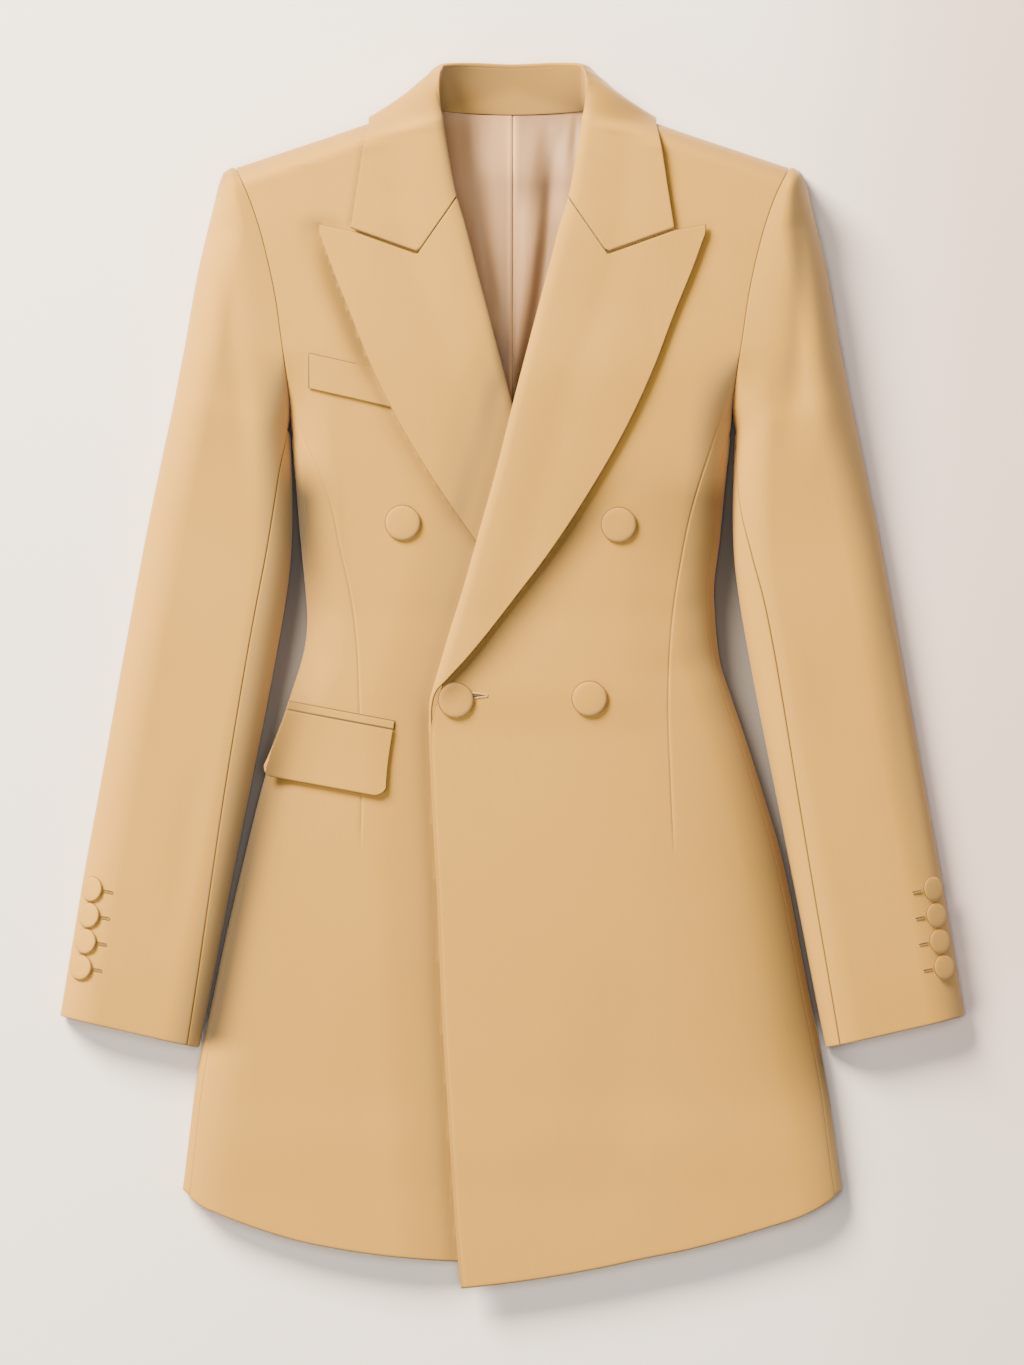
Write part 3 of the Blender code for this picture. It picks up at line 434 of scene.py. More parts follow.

# %% [markdown]
# ## Finishes
# A shader is easier to read as a formula. The small class below wraps a socket, so that plus, minus and
# times between two of them add the Math nodes for us. One method adds any other node. The suiting is a fine
# twill: diagonal ribs less than a millimetre apart, with soft fibres over them and a faint cloudiness from
# dyeing and pressing. We feed the ribs to a bump, because they are far too small for geometry. The side of
# the cloth that turns away from the soft box gets a greyer colour, a painted shade tint. We find that side
# from the direction the cloth faces. Last comes the painted shade that each point keeps.

# %% A socket that does arithmetic, and a material that adds nodes


class Wire:
    """One output of a node. Arithmetic on wires adds Math nodes."""

    def __init__(self, finish, socket):
        self.finish, self.socket = finish, socket

    def math(self, operation, *values):
        return self.finish.node("ShaderNodeMath", {"operation": operation}, dict(enumerate(values)))

    def __add__(self, other):
        return self.math("ADD", self, other)

    __radd__ = __add__

    def __sub__(self, other):
        return self.math("SUBTRACT", self, other)

    def __rsub__(self, other):
        return self.math("SUBTRACT", other, self)

    def __mul__(self, other):
        return self.math("MULTIPLY", self, other)


SOCKETS = {"base_color": "Base Color", "roughness": "Roughness", "normal": "Normal",
           "sheen_weight": "Sheen Weight", "sheen_roughness": "Sheen Roughness",
           "specular": "Specular IOR Level"}


class Finish:
    """A Principled material whose constants are set on its own sockets."""

    def __init__(self, name, **constants):
        self.material = bpy.data.materials.new(name)
        self.material.use_nodes = True
        self.tree = self.material.node_tree
        self.shader = self.tree.nodes["Principled BSDF"]
        for socket, value in constants.items():
            self.shader.inputs[SOCKETS[socket]].default_value = value

    def node(self, kind, settings=None, inputs=None, output=0):
        made = self.tree.nodes.new(kind)
        for name, value in (settings or {}).items():
            setattr(made, name, value)
        for name, value in (inputs or {}).items():
            self.feed(made.inputs[name], value)
        return Wire(self, made.outputs[output])

    def feed(self, socket, value):
        if isinstance(value, Wire):
            self.tree.links.new(value.socket, socket)
        else:
            socket.default_value = value

    def set(self, **wires):
        for name, wire in wires.items():
            self.feed(self.shader.inputs[SOCKETS[name]], wire)

    def attribute(self, name, output="Vector"):
        return self.node("ShaderNodeAttribute", {"attribute_name": name}, output=output)

    def noise(self, place, scale, detail=2.0):
        return self.node("ShaderNodeTexNoise", inputs={"Vector": place, "Scale": scale, "Detail": detail})

    def stretched(self, place, *factors):
        return self.node("ShaderNodeVectorMath", {"operation": "MULTIPLY"}, {0: place, 1: factors})

    def blend(self, factor, first, second):
        """A colour between two."""
        return self.node("ShaderNodeMix", {"data_type": "RGBA"}, {0: factor, 6: first, 7: second}, output=2)

    def bump(self, height, strength, distance):
        return self.node("ShaderNodeBump", inputs={"Height": height, "Strength": strength,
                                                   "Distance": distance})


# %% Camel suiting
CAMEL_DARK = (0.400, 0.213, 0.034, 1)
CAMEL_LIGHT = (0.495, 0.273, 0.052, 1)
SHADED_SIDE_TINT = (0.470, 0.325, 0.145, 1)    # painted shade tint: the greyer colour of cloth that turns away from the soft box
SOFT_BOX_DIRECTION = (-0.577, 0.563, 0.591)
SHEEN = (0.90, 0.80, 0.70, 1)
PAINTED_SHADE_COLOUR = (0.045, 0.034, 0.020, 1)  # painted shade: the colour of cloth where hardly any light gets in
# The rim of each button, where the cloth turns under, gets a painted shade in these darker colours.
RIM_SHADE_DARK, RIM_SHADE_LIGHT = (0.12, 0.066, 0.014, 1), (0.17, 0.095, 0.024, 1)
RIB = 0.00085                     # metres from one twill rib to the next


def suiting(name, dark=CAMEL_DARK, light=CAMEL_LIGHT, rib=RIB):
    """Fine twill with soft fibres, read from the place on the flat cloth."""
    cloth = Finish(name, roughness=0.78, sheen_weight=0.25, sheen_roughness=0.35, specular=0.12)
    cloth.shader.inputs["Sheen Tint"].default_value = SHEEN
    place = cloth.attribute("cut")
    ribs = cloth.node("ShaderNodeTexWave", {"wave_type": "BANDS", "bands_direction": "DIAGONAL"},
                      {"Vector": place, "Scale": 0.314 / rib, "Distortion": 0.6, "Detail": 1.0,
                       "Detail Scale": 1.5}, output="Fac")
    fibre = cloth.noise(cloth.stretched(place, 1.0, 0.35, 1.0), 1500.0, 3.0)
    slub = cloth.noise(cloth.stretched(place, 1.0, 0.06, 1.0), 420.0, 2.0)
    cloud = cloth.noise(place, 9.0, 3.0)
    tone = ribs * 0.16 + fibre * 0.34 + slub * 0.25 + cloud * 0.5 - 0.12
    # Painted shade tint: the colour turns greyer where the cloth faces away from the soft box.
    normal = cloth.node("ShaderNodeNewGeometry", output="Normal")
    facing = cloth.node("ShaderNodeVectorMath", {"operation": "DOT_PRODUCT"}, {0: normal, 1: SOFT_BOX_DIRECTION},
                        output="Value")
    shade_tinted = cloth.blend((0.5 - facing) * 1.5, cloth.blend(tone, dark, light), SHADED_SIDE_TINT)
    # Painted shade: each point's shade value darkens the colour.
    cloth.set(base_color=cloth.blend(cloth.attribute("painted_shade", "Fac"), shade_tinted, PAINTED_SHADE_COLOUR),
              roughness=0.70 + fibre * 0.14,
              normal=cloth.bump(ribs * 0.4 + fibre * 0.6, 0.22, 0.0002))
    return cloth.material


SUITING = suiting("camel_suiting")
BUTTON_SUITING = suiting("camel_suiting_of_the_buttons", rib=RIB * 0.8)
# Painted shade on the buttons' rims.
BUTTON_RIM_SHADE = suiting("camel_suiting_turned_under", RIM_SHADE_DARK, RIM_SHADE_LIGHT, RIB * 0.8)
print("suiting nodes:", len(SUITING.node_tree.nodes))

# %% [markdown]
# ## Lining and thread
# The lining is a smooth satin, so it is glossier than the wool and its weave hardly shows. Its sheen runs
# in soft streaks along the cloth, which a stretched noise in the roughness gives. The thread of the
# buttonholes is a twisted silk, a shade darker than the cloth.

# %% Satin and thread


def satin():
    cloth = Finish("lining_satin", roughness=0.5, sheen_weight=0.1, specular=0.35)
    place = cloth.attribute("cut")
    streak = cloth.noise(cloth.stretched(place, 1.0, 0.04, 1.0), 260.0, 3.0)
    weft = cloth.noise(cloth.stretched(place, 0.2, 1.0, 1.0), 1800.0, 1.0)
    tone = streak * 0.7 + weft * 0.3
    colour = cloth.blend(tone, (0.44, 0.252, 0.122, 1), (0.54, 0.320, 0.160, 1))
    # Painted shade: each point's shade value darkens the satin's colour.
    cloth.set(base_color=cloth.blend(cloth.attribute("painted_shade", "Fac"), colour, PAINTED_SHADE_COLOUR),
              roughness=0.46 + streak * 0.16, normal=cloth.bump(streak * 0.6 + weft * 0.4, 0.1, 0.0002))
    return cloth.material


def silk_thread(name, dark, light):
    thread = Finish(name, roughness=0.5, sheen_weight=0.2)
    place = thread.node("ShaderNodeTexCoord", output="Object")
    twist = thread.noise(place, 5200.0, 2.0)
    thread.set(base_color=thread.blend(twist, dark, light), roughness=0.4 + twist * 0.2,
               normal=thread.bump(twist, 0.3, 0.0001))
    return thread.material


SATIN = satin()
SILK = silk_thread("buttonhole_silk", (0.44, 0.255, 0.075, 1), (0.54, 0.330, 0.110, 1))
CUFF_SILK = silk_thread("cuff_silk", (0.17, 0.095, 0.03, 1), (0.26, 0.150, 0.05, 1))
# Painted shade: a near black thread finish for the dark lines in the pockets' seams and the inside of the
# buttonhole.
SEAM_SHADE_THREAD = silk_thread("shade_in_the_seam", (0.05, 0.026, 0.008, 1), (0.08, 0.044, 0.014, 1))
print("finishes:", SUITING.name, SATIN.name, SILK.name)

# %% [markdown]
# ## A wall of cloth
# Every cloth piece here is a grid of points on its outer face. The helper below gives it a second face, one
# cloth thickness in, and rounds all four edges, so each piece is one closed wall with soft, turned edges.
# Where two pieces meet, the two rounded edges make the groove of a pressed seam. Blender's Solidify would
# give the wall as well, but it leaves the edges square. The helper also keeps each point's place on the flat
# cloth, which the weave is read from, and a painted shade that darkens the grooves and turned edges.

# %% Turn a grid of points into a closed wall of cloth


def normals(points, out):
    return unit(np.cross(np.gradient(points, axis=1), np.gradient(points, axis=0)) * out)


def arc(points, axis):
    """Distance run along one direction of the grid."""
    steps = np.linalg.norm(np.diff(points, axis=axis), axis=2)
    start = np.zeros_like(steps[:1] if axis == 0 else steps[:, :1])
    return np.concatenate([start, np.cumsum(steps, axis=axis)], axis=axis)


def quads(grid, turned=False):
    """The corners of every cell in a grid of point numbers."""
    corners = [grid[:-1, :-1], grid[:-1, 1:], grid[1:, 1:], grid[1:, :-1]]
    return np.stack(corners[::-1] if turned else corners, axis=-1).reshape(-1, 4)


def placed(name, data):
    """An object in the scene that shows the given data."""
    made = bpy.data.objects.new(name, data)
    bpy.context.scene.collection.objects.link(made)
    return made


def mesh_object(name, points, faces, finishes, cut=None, finish_of_face=None, shade=0.0):
    """A smooth-shaded object from points in millimetres. cut is each point's place on the flat cloth, and
    shade is the least shade at each point."""
    mesh = bpy.data.meshes.new(name)
    mesh.from_pydata((points * 0.001).tolist(), [], [tuple(face) for face in faces])
    if cut is not None:
        layer = mesh.attributes.new("cut", "FLOAT_VECTOR", "POINT")
        layer.data.foreach_set("vector", (cut * 0.001).ravel())
        # Painted shade, kept with each point for the finishes to darken their colour with.
        layer = mesh.attributes.new("painted_shade", "FLOAT", "POINT")
        layer.data.foreach_set("value", np.maximum(painted_shade(*points[:, :2].T), shade))
    mesh.shade_smooth()
    for finish in finishes:
        mesh.materials.append(finish)
    if finish_of_face is not None:
        mesh.polygons.foreach_set("material_index", finish_of_face)
    piece = placed(name + "_sewn", mesh)
    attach(piece, "root")
    return piece


FACING, FLUSH = 42.0, 0.12        # depth of the turned-in cloth, and of the groove of a flush seam
EDGE_SHADE, FLUSH_SHADE = 0.62, 0.15   # painted shade in a seam or along a turned edge, and in a flush seam


def wall(name, points, thickness, out, finish=SUITING, inside=None, faced=(), flush=(), shade=0.0):
    """A closed wall of cloth. faced names the borders along which the inside is cloth and not lining, and
    flush those that are pressed so flat that the seam hardly shows."""
    rows, columns = points.shape[:2]
    across, along = arc(points, 1), arc(points, 0)
    borders = {"first_column": across, "last_column": across[:, -1:] - across,
               "first_row": along, "last_row": along[-1:] - along}
    drop, shade = np.zeros((rows, columns)), np.broadcast_to(shade, (rows, columns))
    for border, away in borders.items():
        near = 1 - np.clip(away / (thickness / 2), 0, 1)
        deep = FLUSH if border in flush else thickness / 2
        drop = np.maximum(drop, deep * (1 - np.sqrt(1 - near ** 2)))
        shade = np.maximum(shade, (FLUSH_SHADE if border in flush else EDGE_SHADE) * smooth(0.1, 0.9, near))
    normal = normals(points, out)
    outer = points - normal * drop[..., None]
    inner = points - normal * (thickness - drop)[..., None]
    index = np.arange(rows * columns).reshape(rows, columns)
    below = index.copy()
    below[1:-1, 1:-1] = rows * columns + np.arange((rows - 2) * (columns - 2)).reshape(rows - 2, columns - 2)
    faces = np.concatenate([quads(index, out < 0), quads(below, out > 0)])
    shown = [finish]
    finish_of_face = np.zeros(len(faces), dtype=np.int32)
    if inside is not None:
        shown.append(inside)
        depth = np.min([borders[border] for border in faced], axis=0)
        finish_of_face[len(faces) // 2:] = (depth[:-1, :-1] >= FACING).ravel()
    cut = xyz(across, along, 0.0)
    every = np.concatenate([outer.reshape(-1, 3), inner[1:-1, 1:-1].reshape(-1, 3)])
    places = np.concatenate([cut.reshape(-1, 3), cut[1:-1, 1:-1].reshape(-1, 3)])
    shade = np.concatenate([shade.ravel(), shade[1:-1, 1:-1].ravel()])
    piece = mesh_object(name, every, faces.tolist(), shown, places, finish_of_face, shade)
    width, length = across[:, -1].max() * 0.001, along[-1].max() * 0.001
    diagonals = np.cross(points[1:, 1:] - points[:-1, :-1], points[1:, :-1] - points[:-1, 1:])
    area = float(np.linalg.norm(diagonals, axis=2).sum() / 2 * 1e-6)
    piece["cut"] = (round(float(width), 3), round(float(length), 3), round(area, 4))
    return piece


def sewn(piece, nodes, rests_on):
    """Hide the frame's nodes that a piece of cloth stands for, and print its flat cut."""
    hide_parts(*nodes)
    width, length, area = piece["cut"]
    length = max(length, 0.01)
    del piece["cut"]
    max(area, 0.31 * width * length)
    print("%-20s cut %.0f x %.0f mm, %.0f cm2" % (piece.name, width * 1000, length * 1000, area * 1e4))


# %% [markdown]
# ## Fronts
# Each front runs from its side seam, round the armhole and the shoulder, to its edge. Above the break, its
# edge is hidden inside the rolled lapel. One column of points follows the armhole dart and its neighbours
# crowd round it, so the dart's narrow groove is real geometry without a fine mesh everywhere. Beside the
# front edge runs the slight ridge of the seam allowance that is turned in.

# %% The two fronts
EDGE_RIDGE, EDGE_RIDGE_DEPTH = 2.2, 0.4
DART_ROWS = {side: np.array(DARTS[side])[::-1] for side in (LEFT, RIGHT)}


def front_hem(side, x):
    return HEM.at("left" if side == LEFT else "right", side * x)


def front_outer_x(side, y):
    inset = mix(FRONT_SEAM, JOIN / 2, smooth(*SEAM_RUN_OUT, y))
    reach = abs(side_edge(side, y)) - inset
    return side * np.where(y > SHOULDER_TIP[1] - 1, np.minimum(reach, shoulder_x(y)), reach)


def front_inner_x(side, y):
    start = (BREAK - 38, BREAK - 6) if side == LEFT else (BREAK - 1, BREAK + 4)
    fold = (FOLD_TAIL + 0.3) * smooth(*start, y)
    return side * (FRONT_EDGE.at("x", y) + fold)


def grid_rows(steps_to_hem, step, top=None):
    """For each row of a grid: 0 at the hem to 1 where it is level, and its level on the side seam."""
    bend = crowded(steps_to_hem)[:-1]
    levels = np.arange(HEM_BLEND, SHOULDER_TOP, step)
    extra = [SHOULDER_TIP[1] - 0.9, SHOULDER_TIP[1], *(SHOULDER_TOP - np.array((0.9, 0.35, 0.0)))]
    levels = np.sort(np.concatenate([levels[levels < SHOULDER_TOP - 2], extra]))
    if top is not None:
        levels = np.append(levels[levels < top - 2.5], top)
    return (np.concatenate([bend, np.ones(len(levels))]),
            np.concatenate([mix(HEM_CORNER, HEM_BLEND, bend), levels]))


def make_front(side, name):
    ts, outer_y = grid_rows(28, 3.2)
    edge_bottom = front_hem(side, side * FRONT_EDGE.at("x", -420.0))
    inner_y = np.where(ts < 1, mix(edge_bottom, HEM_BLEND, ts), outer_y)
    outer_x, inner_x = front_outer_x(side, outer_y), front_inner_x(side, inner_y)
    dart = np.interp(outer_y, DART_ROWS[side][:, 1], DART_ROWS[side][:, 0])
    share = np.clip((dart - outer_x) / (inner_x - outer_x), 0.05, 0.9)
    t_out, t_in = crowded(20), crowded(72)[1:]
    u = np.concatenate([share[:, None] * t_out, share[:, None] + (1 - share[:, None]) * t_in], axis=1)
    x = mix(outer_x[:, None], inner_x[:, None], u)
    y = np.where(ts[:, None] < 1, mix(front_hem(side, x), HEM_BLEND, ts[:, None]), outer_y[:, None])
    z = front_face(side, x, y, seams=True)
    from_edge = abs(x - inner_x[:, None])
    ridge = np.exp(-((from_edge - EDGE_RIDGE) / 0.6) ** 2) * (1 - smooth(BREAK - 34, BREAK - 20, y))
    piece = wall("front_" + name, xyz(x, y, z - EDGE_RIDGE_DEPTH * ridge), CLOTH, -side, inside=SATIN,
                 faced=("first_row", "last_column"), flush=("first_column",))
    sewn(piece, ["front_" + name], ["back_" + name])


for side, name in SIDES:
    make_front(side, name)

# %% [markdown]
# ## Side panels and backs
# A side panel carries the jacket round from the front to the back, so its section is a quarter round with a
# flat tail beneath. The two back halves lie flat on the table and meet in the centre back seam. They rise a
# little at the neck, where they lie on the collar's turned-down leaf.

# %% Side panels and backs


def make_side(side, name):
    ts, seam_y = grid_rows(16, 5.0, ARMPIT - 0.5)
    edge = abs(side_edge(side, seam_y))
    depth = edge - abs(front_outer_x(side, seam_y)) - JOIN
    back_depth = BODY.at("side_back", seam_y)
    columns = [(depth * c, None) for c in (1, 0.97, 0.9, 0.8, 0.6, 0.4, 0.2, 0.08, 0)]
    columns += [(FOOT * (1 - np.cos(angle)), FOOT * (1 - np.sin(angle)))
                for angle in np.radians((15, 30, 45, 60, 75, 90))]
    columns += [(mix(FOOT, back_depth, c), 0.0) for c in (0.2, 0.45, 0.7, 0.9, 0.98, 1)]
    rows = []
    for number, (inset, height) in enumerate(columns):
        reach = edge - inset
        hem = mix(front_hem(side, side * reach), HEM.at("back", reach), smooth(0, len(columns) - 1, number))
        y = np.where(ts < 1, mix(hem, HEM_BLEND, ts), seam_y)
        z = front_face(side, side * reach, y) if height is None else height
        rows.append(xyz(side * reach, y, z))
    piece = wall("side_" + name, np.stack(rows, axis=1), CLOTH, side, inside=SATIN, faced=("first_row",),
                 flush=("first_column",))
    sewn(piece, ["side_" + name], ["back_" + name])


def neck_curve_x(y):
    rise = np.maximum(y - BACK_NECK, 0) / (NECK_POINT[1] - BACK_NECK)
    return NECK_POINT[0] * rise ** 0.4


def back_height(x, y):
    return neck_lift(x, y) + (FOOT - JOIN) * (1 - quarter(shoulder_depth(x, y) / FOOT))


def make_back(side, name):
    ts, seam_y = grid_rows(16, 6.0)
    outer = abs(side_edge(side, seam_y))
    outer = outer - np.where(seam_y < ARMPIT, BODY.at("side_back", seam_y) + JOIN, JOIN / 2)
    outer = np.where(seam_y > SHOULDER_TIP[1], shoulder_x(seam_y), outer)
    inner = np.maximum(neck_curve_x(seam_y), JOIN / 2)
    reach = mix(inner[:, None], outer[:, None], crowded(26))
    y = np.where(ts[:, None] < 1, mix(HEM.at("back", reach), HEM_BLEND, ts[:, None]), seam_y[:, None])
    points = xyz(side * reach, y, back_height(reach, y))
    piece = wall("back_" + name, points, CLOTH, -side, inside=SATIN, faced=("first_row",),
                 flush=("last_column",))
    sewn(piece, ["back_" + name], [])


for side, name in SIDES:
    make_side(side, name)
    make_back(side, name)

# %% [markdown]
# ## Lining in the neck
# Between the lapels we look at the inside of the back: a satin lining with a seam down its middle. It is cut
# a little wider than the back, so that it doesn't strain, and the spare width falls in soft upright folds.
# We place each fold, wider towards the bottom and fading at the neck seam, and darken the deepest
# one, what lies behind it and the point of the V.

# %% The back lining
LINING_EASE = 11.0                # how far the lining stands off the back below its neck seam
LINING_REACH, NECK_SEAM_RISE = 54.0, 3.8   # its half width, and how far it rises to the shoulder
LINING_FOLDS = {                  # x, y, height, width
    LEFT: (
        ((0.6, 392, -0.5, 0.7), (0.6, 320, -0.7, 0.7), (0.6, 170, -0.7, 0.7)),
        ((13, 385, 0.0, 6), (10, 340, 0.6, 6), (6, 262, 0.8, 4), (3, 220, 0.5, 4)),
        ((25, 387, -0.4, 4), (22, 366, -1.6, 5), (19, 340, -1.2, 5), (16, 310, -0.4, 5)),
        ((30, 382, 0.0, 6), (28, 355, -3.5, 6), (25, 305, -6.5, 6.5), (20.5, 268, -7.0, 6.5),
         (14.5, 232, -6, 6), (9, 205, -5, 5)),
        ((40, 391, 0.2, 2.5), (39, 380, 0.4, 3), (37, 362, 0.1, 4)),
        ((45, 391, -0.4, 2), (44, 378, -1.1, 2.5), (42, 355, -0.3, 3)),
    ),
    RIGHT: (
        ((-1.8, 392, 0.3, 1.2), (-1.8, 320, 0.45, 1.2), (-1.8, 170, 0.45, 1.2)),
        ((-12, 389, 0.3, 7), (-11, 340, 1.3, 8), (-8, 262, 1.0, 6)),
        ((-33, 389, -0.4, 6), (-28, 350, -1.8, 8), (-20, 290, -2.0, 6), (-14, 240, -1.2, 5)),
        ((-46, 389, 0.3, 5), (-42, 360, 0.8, 6), (-36, 310, 0.8, 6)),
    ),
}
FOLD_SHADE = (205, 232, 268, 305, 355, 390), (5, 9.5, 15.5, 20, 23, 25)   # y and x of the deep fold


def lining_shade(side, x, level):
    """Shade in the deep fold, behind it, below the collar and in the point of the V."""
    if side == RIGHT:
        return 0.45 * smooth(250, 222, level) * smooth(0, -4, x)
    from_fold = x - np.interp(level, *FOLD_SHADE)
    fold = 0.62 * np.exp(-(from_fold / 5.5) ** 2) * smooth(395, 330, level)
    behind = 0.55 * smooth(1, 8, from_fold) * smooth(345, 310, level)
    top = 0.42 * smooth(1, 6, x) * smooth(318, 345, level)
    return 1 - (1 - fold) * (1 - behind) * (1 - top)


def make_lining(side, name):
    level = np.concatenate([[168, 168.3, 168.8], np.arange(171, 390, 2.5), [391.2, 391.9, 392.3, 392.6]])
    x, level = np.meshgrid(side * mix(JOIN / 2, LINING_REACH, crowded(60)), level)
    y = level + NECK_SEAM_RISE * (abs(x) / LINING_REACH) ** 2 * smooth(340, 391, level)
    z = back_height(x, y) + CLOTH + 1.5 + LINING + LINING_EASE * smooth(388, 345, level)
    z = z + creased(x, y, [flowing(line, 12) for line in LINING_FOLDS[side]])
    piece = wall("lining_" + name, xyz(x, y, np.maximum(z, CLOTH + 0.2 + LINING)), LINING, side,
                 finish=SATIN, shade=lining_shade(side, x, level))
    sewn(piece, ["lining_" + name], ["back_" + name])


for side, name in SIDES:
    make_lining(side, name)

# %% [markdown]
# ## Lapels
# A lapel is the front itself, turned back along the roll line. It is faced with cloth, so we see a smooth
# leaf that swells over the roll, lies close behind it and lifts again at its edge. The edge ends in a peak,
# and its top follows the gorge seam, where the lapel is sewn to the collar. The rows of the grid run from
# the roll line out to the edge, and bend with the gorge near the top.

# %% The lapels
NOTCH_SHARE, TIP_SHARE = 0.285, 0.773
LAPEL_RISE, LAPEL_CROWN, LAPEL_SAG = 2.8, 1.6, 0.9
LAPEL_REACH = (14.0, 40.0, 60.0)  # distances from the roll to the crown, the sag and the edge
SHOULDER_RISE, SHOULDER_RISE_Y = 1.2, (325.0, 388.0)
LAPEL_START = {LEFT: -46.0, RIGHT: BREAK + 1}
HIDDEN_RISE, HIDDEN_REACH, HIDDEN_TOP = 2.7, (25.0, 8.0), (195.0, 215.0)
GORGE_GAP, ROLL_REACH = 0.12, 6.5   # half the gap at the gorge seam, and how far the roll rounds over


def lapel_lift(side, distance, y):
    """How far the lapel's face lies over the front, by its distance from the roll line."""
    crown, sag, edge = LAPEL_REACH
    lift = LAPEL_RISE + LAPEL_CROWN * quarter(distance / crown) - LAPEL_SAG * smooth(crown, sag, distance)
    lift = lift + LAPEL_SAG * smooth(2 * crown, edge, distance) + SHOULDER_RISE * smooth(*SHOULDER_RISE_Y, y)
    if side == LEFT:
        return lift
    top_roll = FRONT_EDGE.at("x", y)
    hidden = smooth(top_roll - HIDDEN_REACH[0], top_roll - HIDDEN_REACH[1], -top_roll - distance)
    return mix(lift, HIDDEN_RISE, hidden * (1 - smooth(*HIDDEN_TOP, y)))


def rolled(side, x, y, distance, lift, height=FOLD_HEIGHT / 2):
    """Leaf points: a soft roll at distance 0, then the given lift over the front."""
    over = mix(height - CLOTH, lift, quarter(distance / ROLL_REACH))
    return xyz(side * x, y, front_face(side, side * x, y, hollow=False) + over)


def fold_tail(side, roll_x, roll_y, radius, tail=FOLD_TAIL, height=FOLD_HEIGHT / 2):
    """The hidden limb of a fold: from the seam inside it, round to the roll line."""
    base = front_face(side, side * roll_x, roll_y, hollow=False) - CLOTH
    columns = [xyz(side * (roll_x + tail * share), roll_y, base) for share in (1, 0.7)]
    for angle in np.radians((-90, -65, -40, -18)):
        x = roll_x + radius * (1 - np.cos(angle))
        columns.append(xyz(side * x, roll_y, base + height + height * np.sin(angle)))
    return columns


def make_lapel(side, name):
    v = crowded(160)
    bottom = LAPEL_START[side]
    roll_y, edge_y = mix(bottom, GORGE[1], v), mix(bottom, PEAK[1], v)
    grown = smooth(bottom, -3, roll_y) if side == LEFT else np.ones_like(v)
    height = mix(1.0, FOLD_HEIGHT / 2, grown)
    roll_x = FRONT_EDGE.at("x", roll_y)
    edge_x = mix(LAPEL_EDGE.at(name, edge_y), PEAK[0], smooth(0.97, 1, v))
    width = edge_x - roll_x
    columns = fold_tail(side, roll_x, roll_y, np.minimum(height, width / 3),
                        np.minimum(FOLD_TAIL, width * 0.7), height)
    u = crowded(70)
    top = np.interp(u, (0, NOTCH_SHARE, TIP_SHARE, 1), (GORGE[1], NOTCH[1], COLLAR_TIP[1], PEAK[1]))
    bend = top - mix(GORGE[1], PEAK[1], u) - GORGE_GAP - 0.6 * smooth(0.26, 0.31, u)
    for share, drop in zip(u, bend):
        x = mix(roll_x, edge_x, share)
        y = mix(roll_y, edge_y, share) + drop * smooth(0.62, 1, v)
        lift = mix(0.1, lapel_lift(side, x - roll_x, y), grown)
        columns.append(rolled(side, x, y, x - roll_x, lift, height))
    piece = wall("lapel_" + name, np.stack(columns, axis=1), CLOTH, side)
    sewn(piece, ["lapel_" + name], ["front_" + name])


for side, name in SIDES:
    make_lapel(side, name)

# %% [markdown]
# ## Collar
# The collar stands up round the back of the neck and turns over on the same roll line as the lapels. Its
# leaf is one piece from notch to notch. Its stand shows only inside the neck. We work out the section of
# the collar at a few stations, from the gorge round to the centre back, mirror them, and draw smooth curves
# through the stations.

# %% The collar's leaf and stand
COLLAR_FRONT_TOP = (390.0, 384.0)
COLLAR_TURN = (                   # seam, roll, middle and edge of each section round to the centre back
    ((52.6, 396.4, 14), (50.7, 410, 49), (78, 403, 48), (100, 391, 15)),
    ((51.4, 396.0, 10.6), (50.5, 419, 44), (72, 417, 25), (90, 387, 1)),
    ((49.8, 395.6, 9.8), (49.0, 423.5, 40), (65, 425, 9), (79, 386, 0)),
    ((45.6, 395.0, 9.5), (45.8, 426.5, 35), (56, 434, 0), (66, 384.5, 0)),
    ((26.0, 393.5, 9.2), (28, 427.8, 27), (30, 434, 0), (36, 384.5, 0)),
    ((0.0, 392.7, 9.0), (0, 427, 24), (0, 432, 0), (0, 385.5, 0)),
)
STAND_TAIL, STAND_START = 2.6, 3.0   # where the stand takes over from the leaf, beside and below the roll
COLLAR_NOTCH_SHARE = 0.368        # how far out along the gorge the notch lies


def bezier(a, b, c, t):
    t = np.asarray(t)[..., None]
    return a * (1 - t) ** 2 + b * (2 * t * (1 - t)) + c * t * t


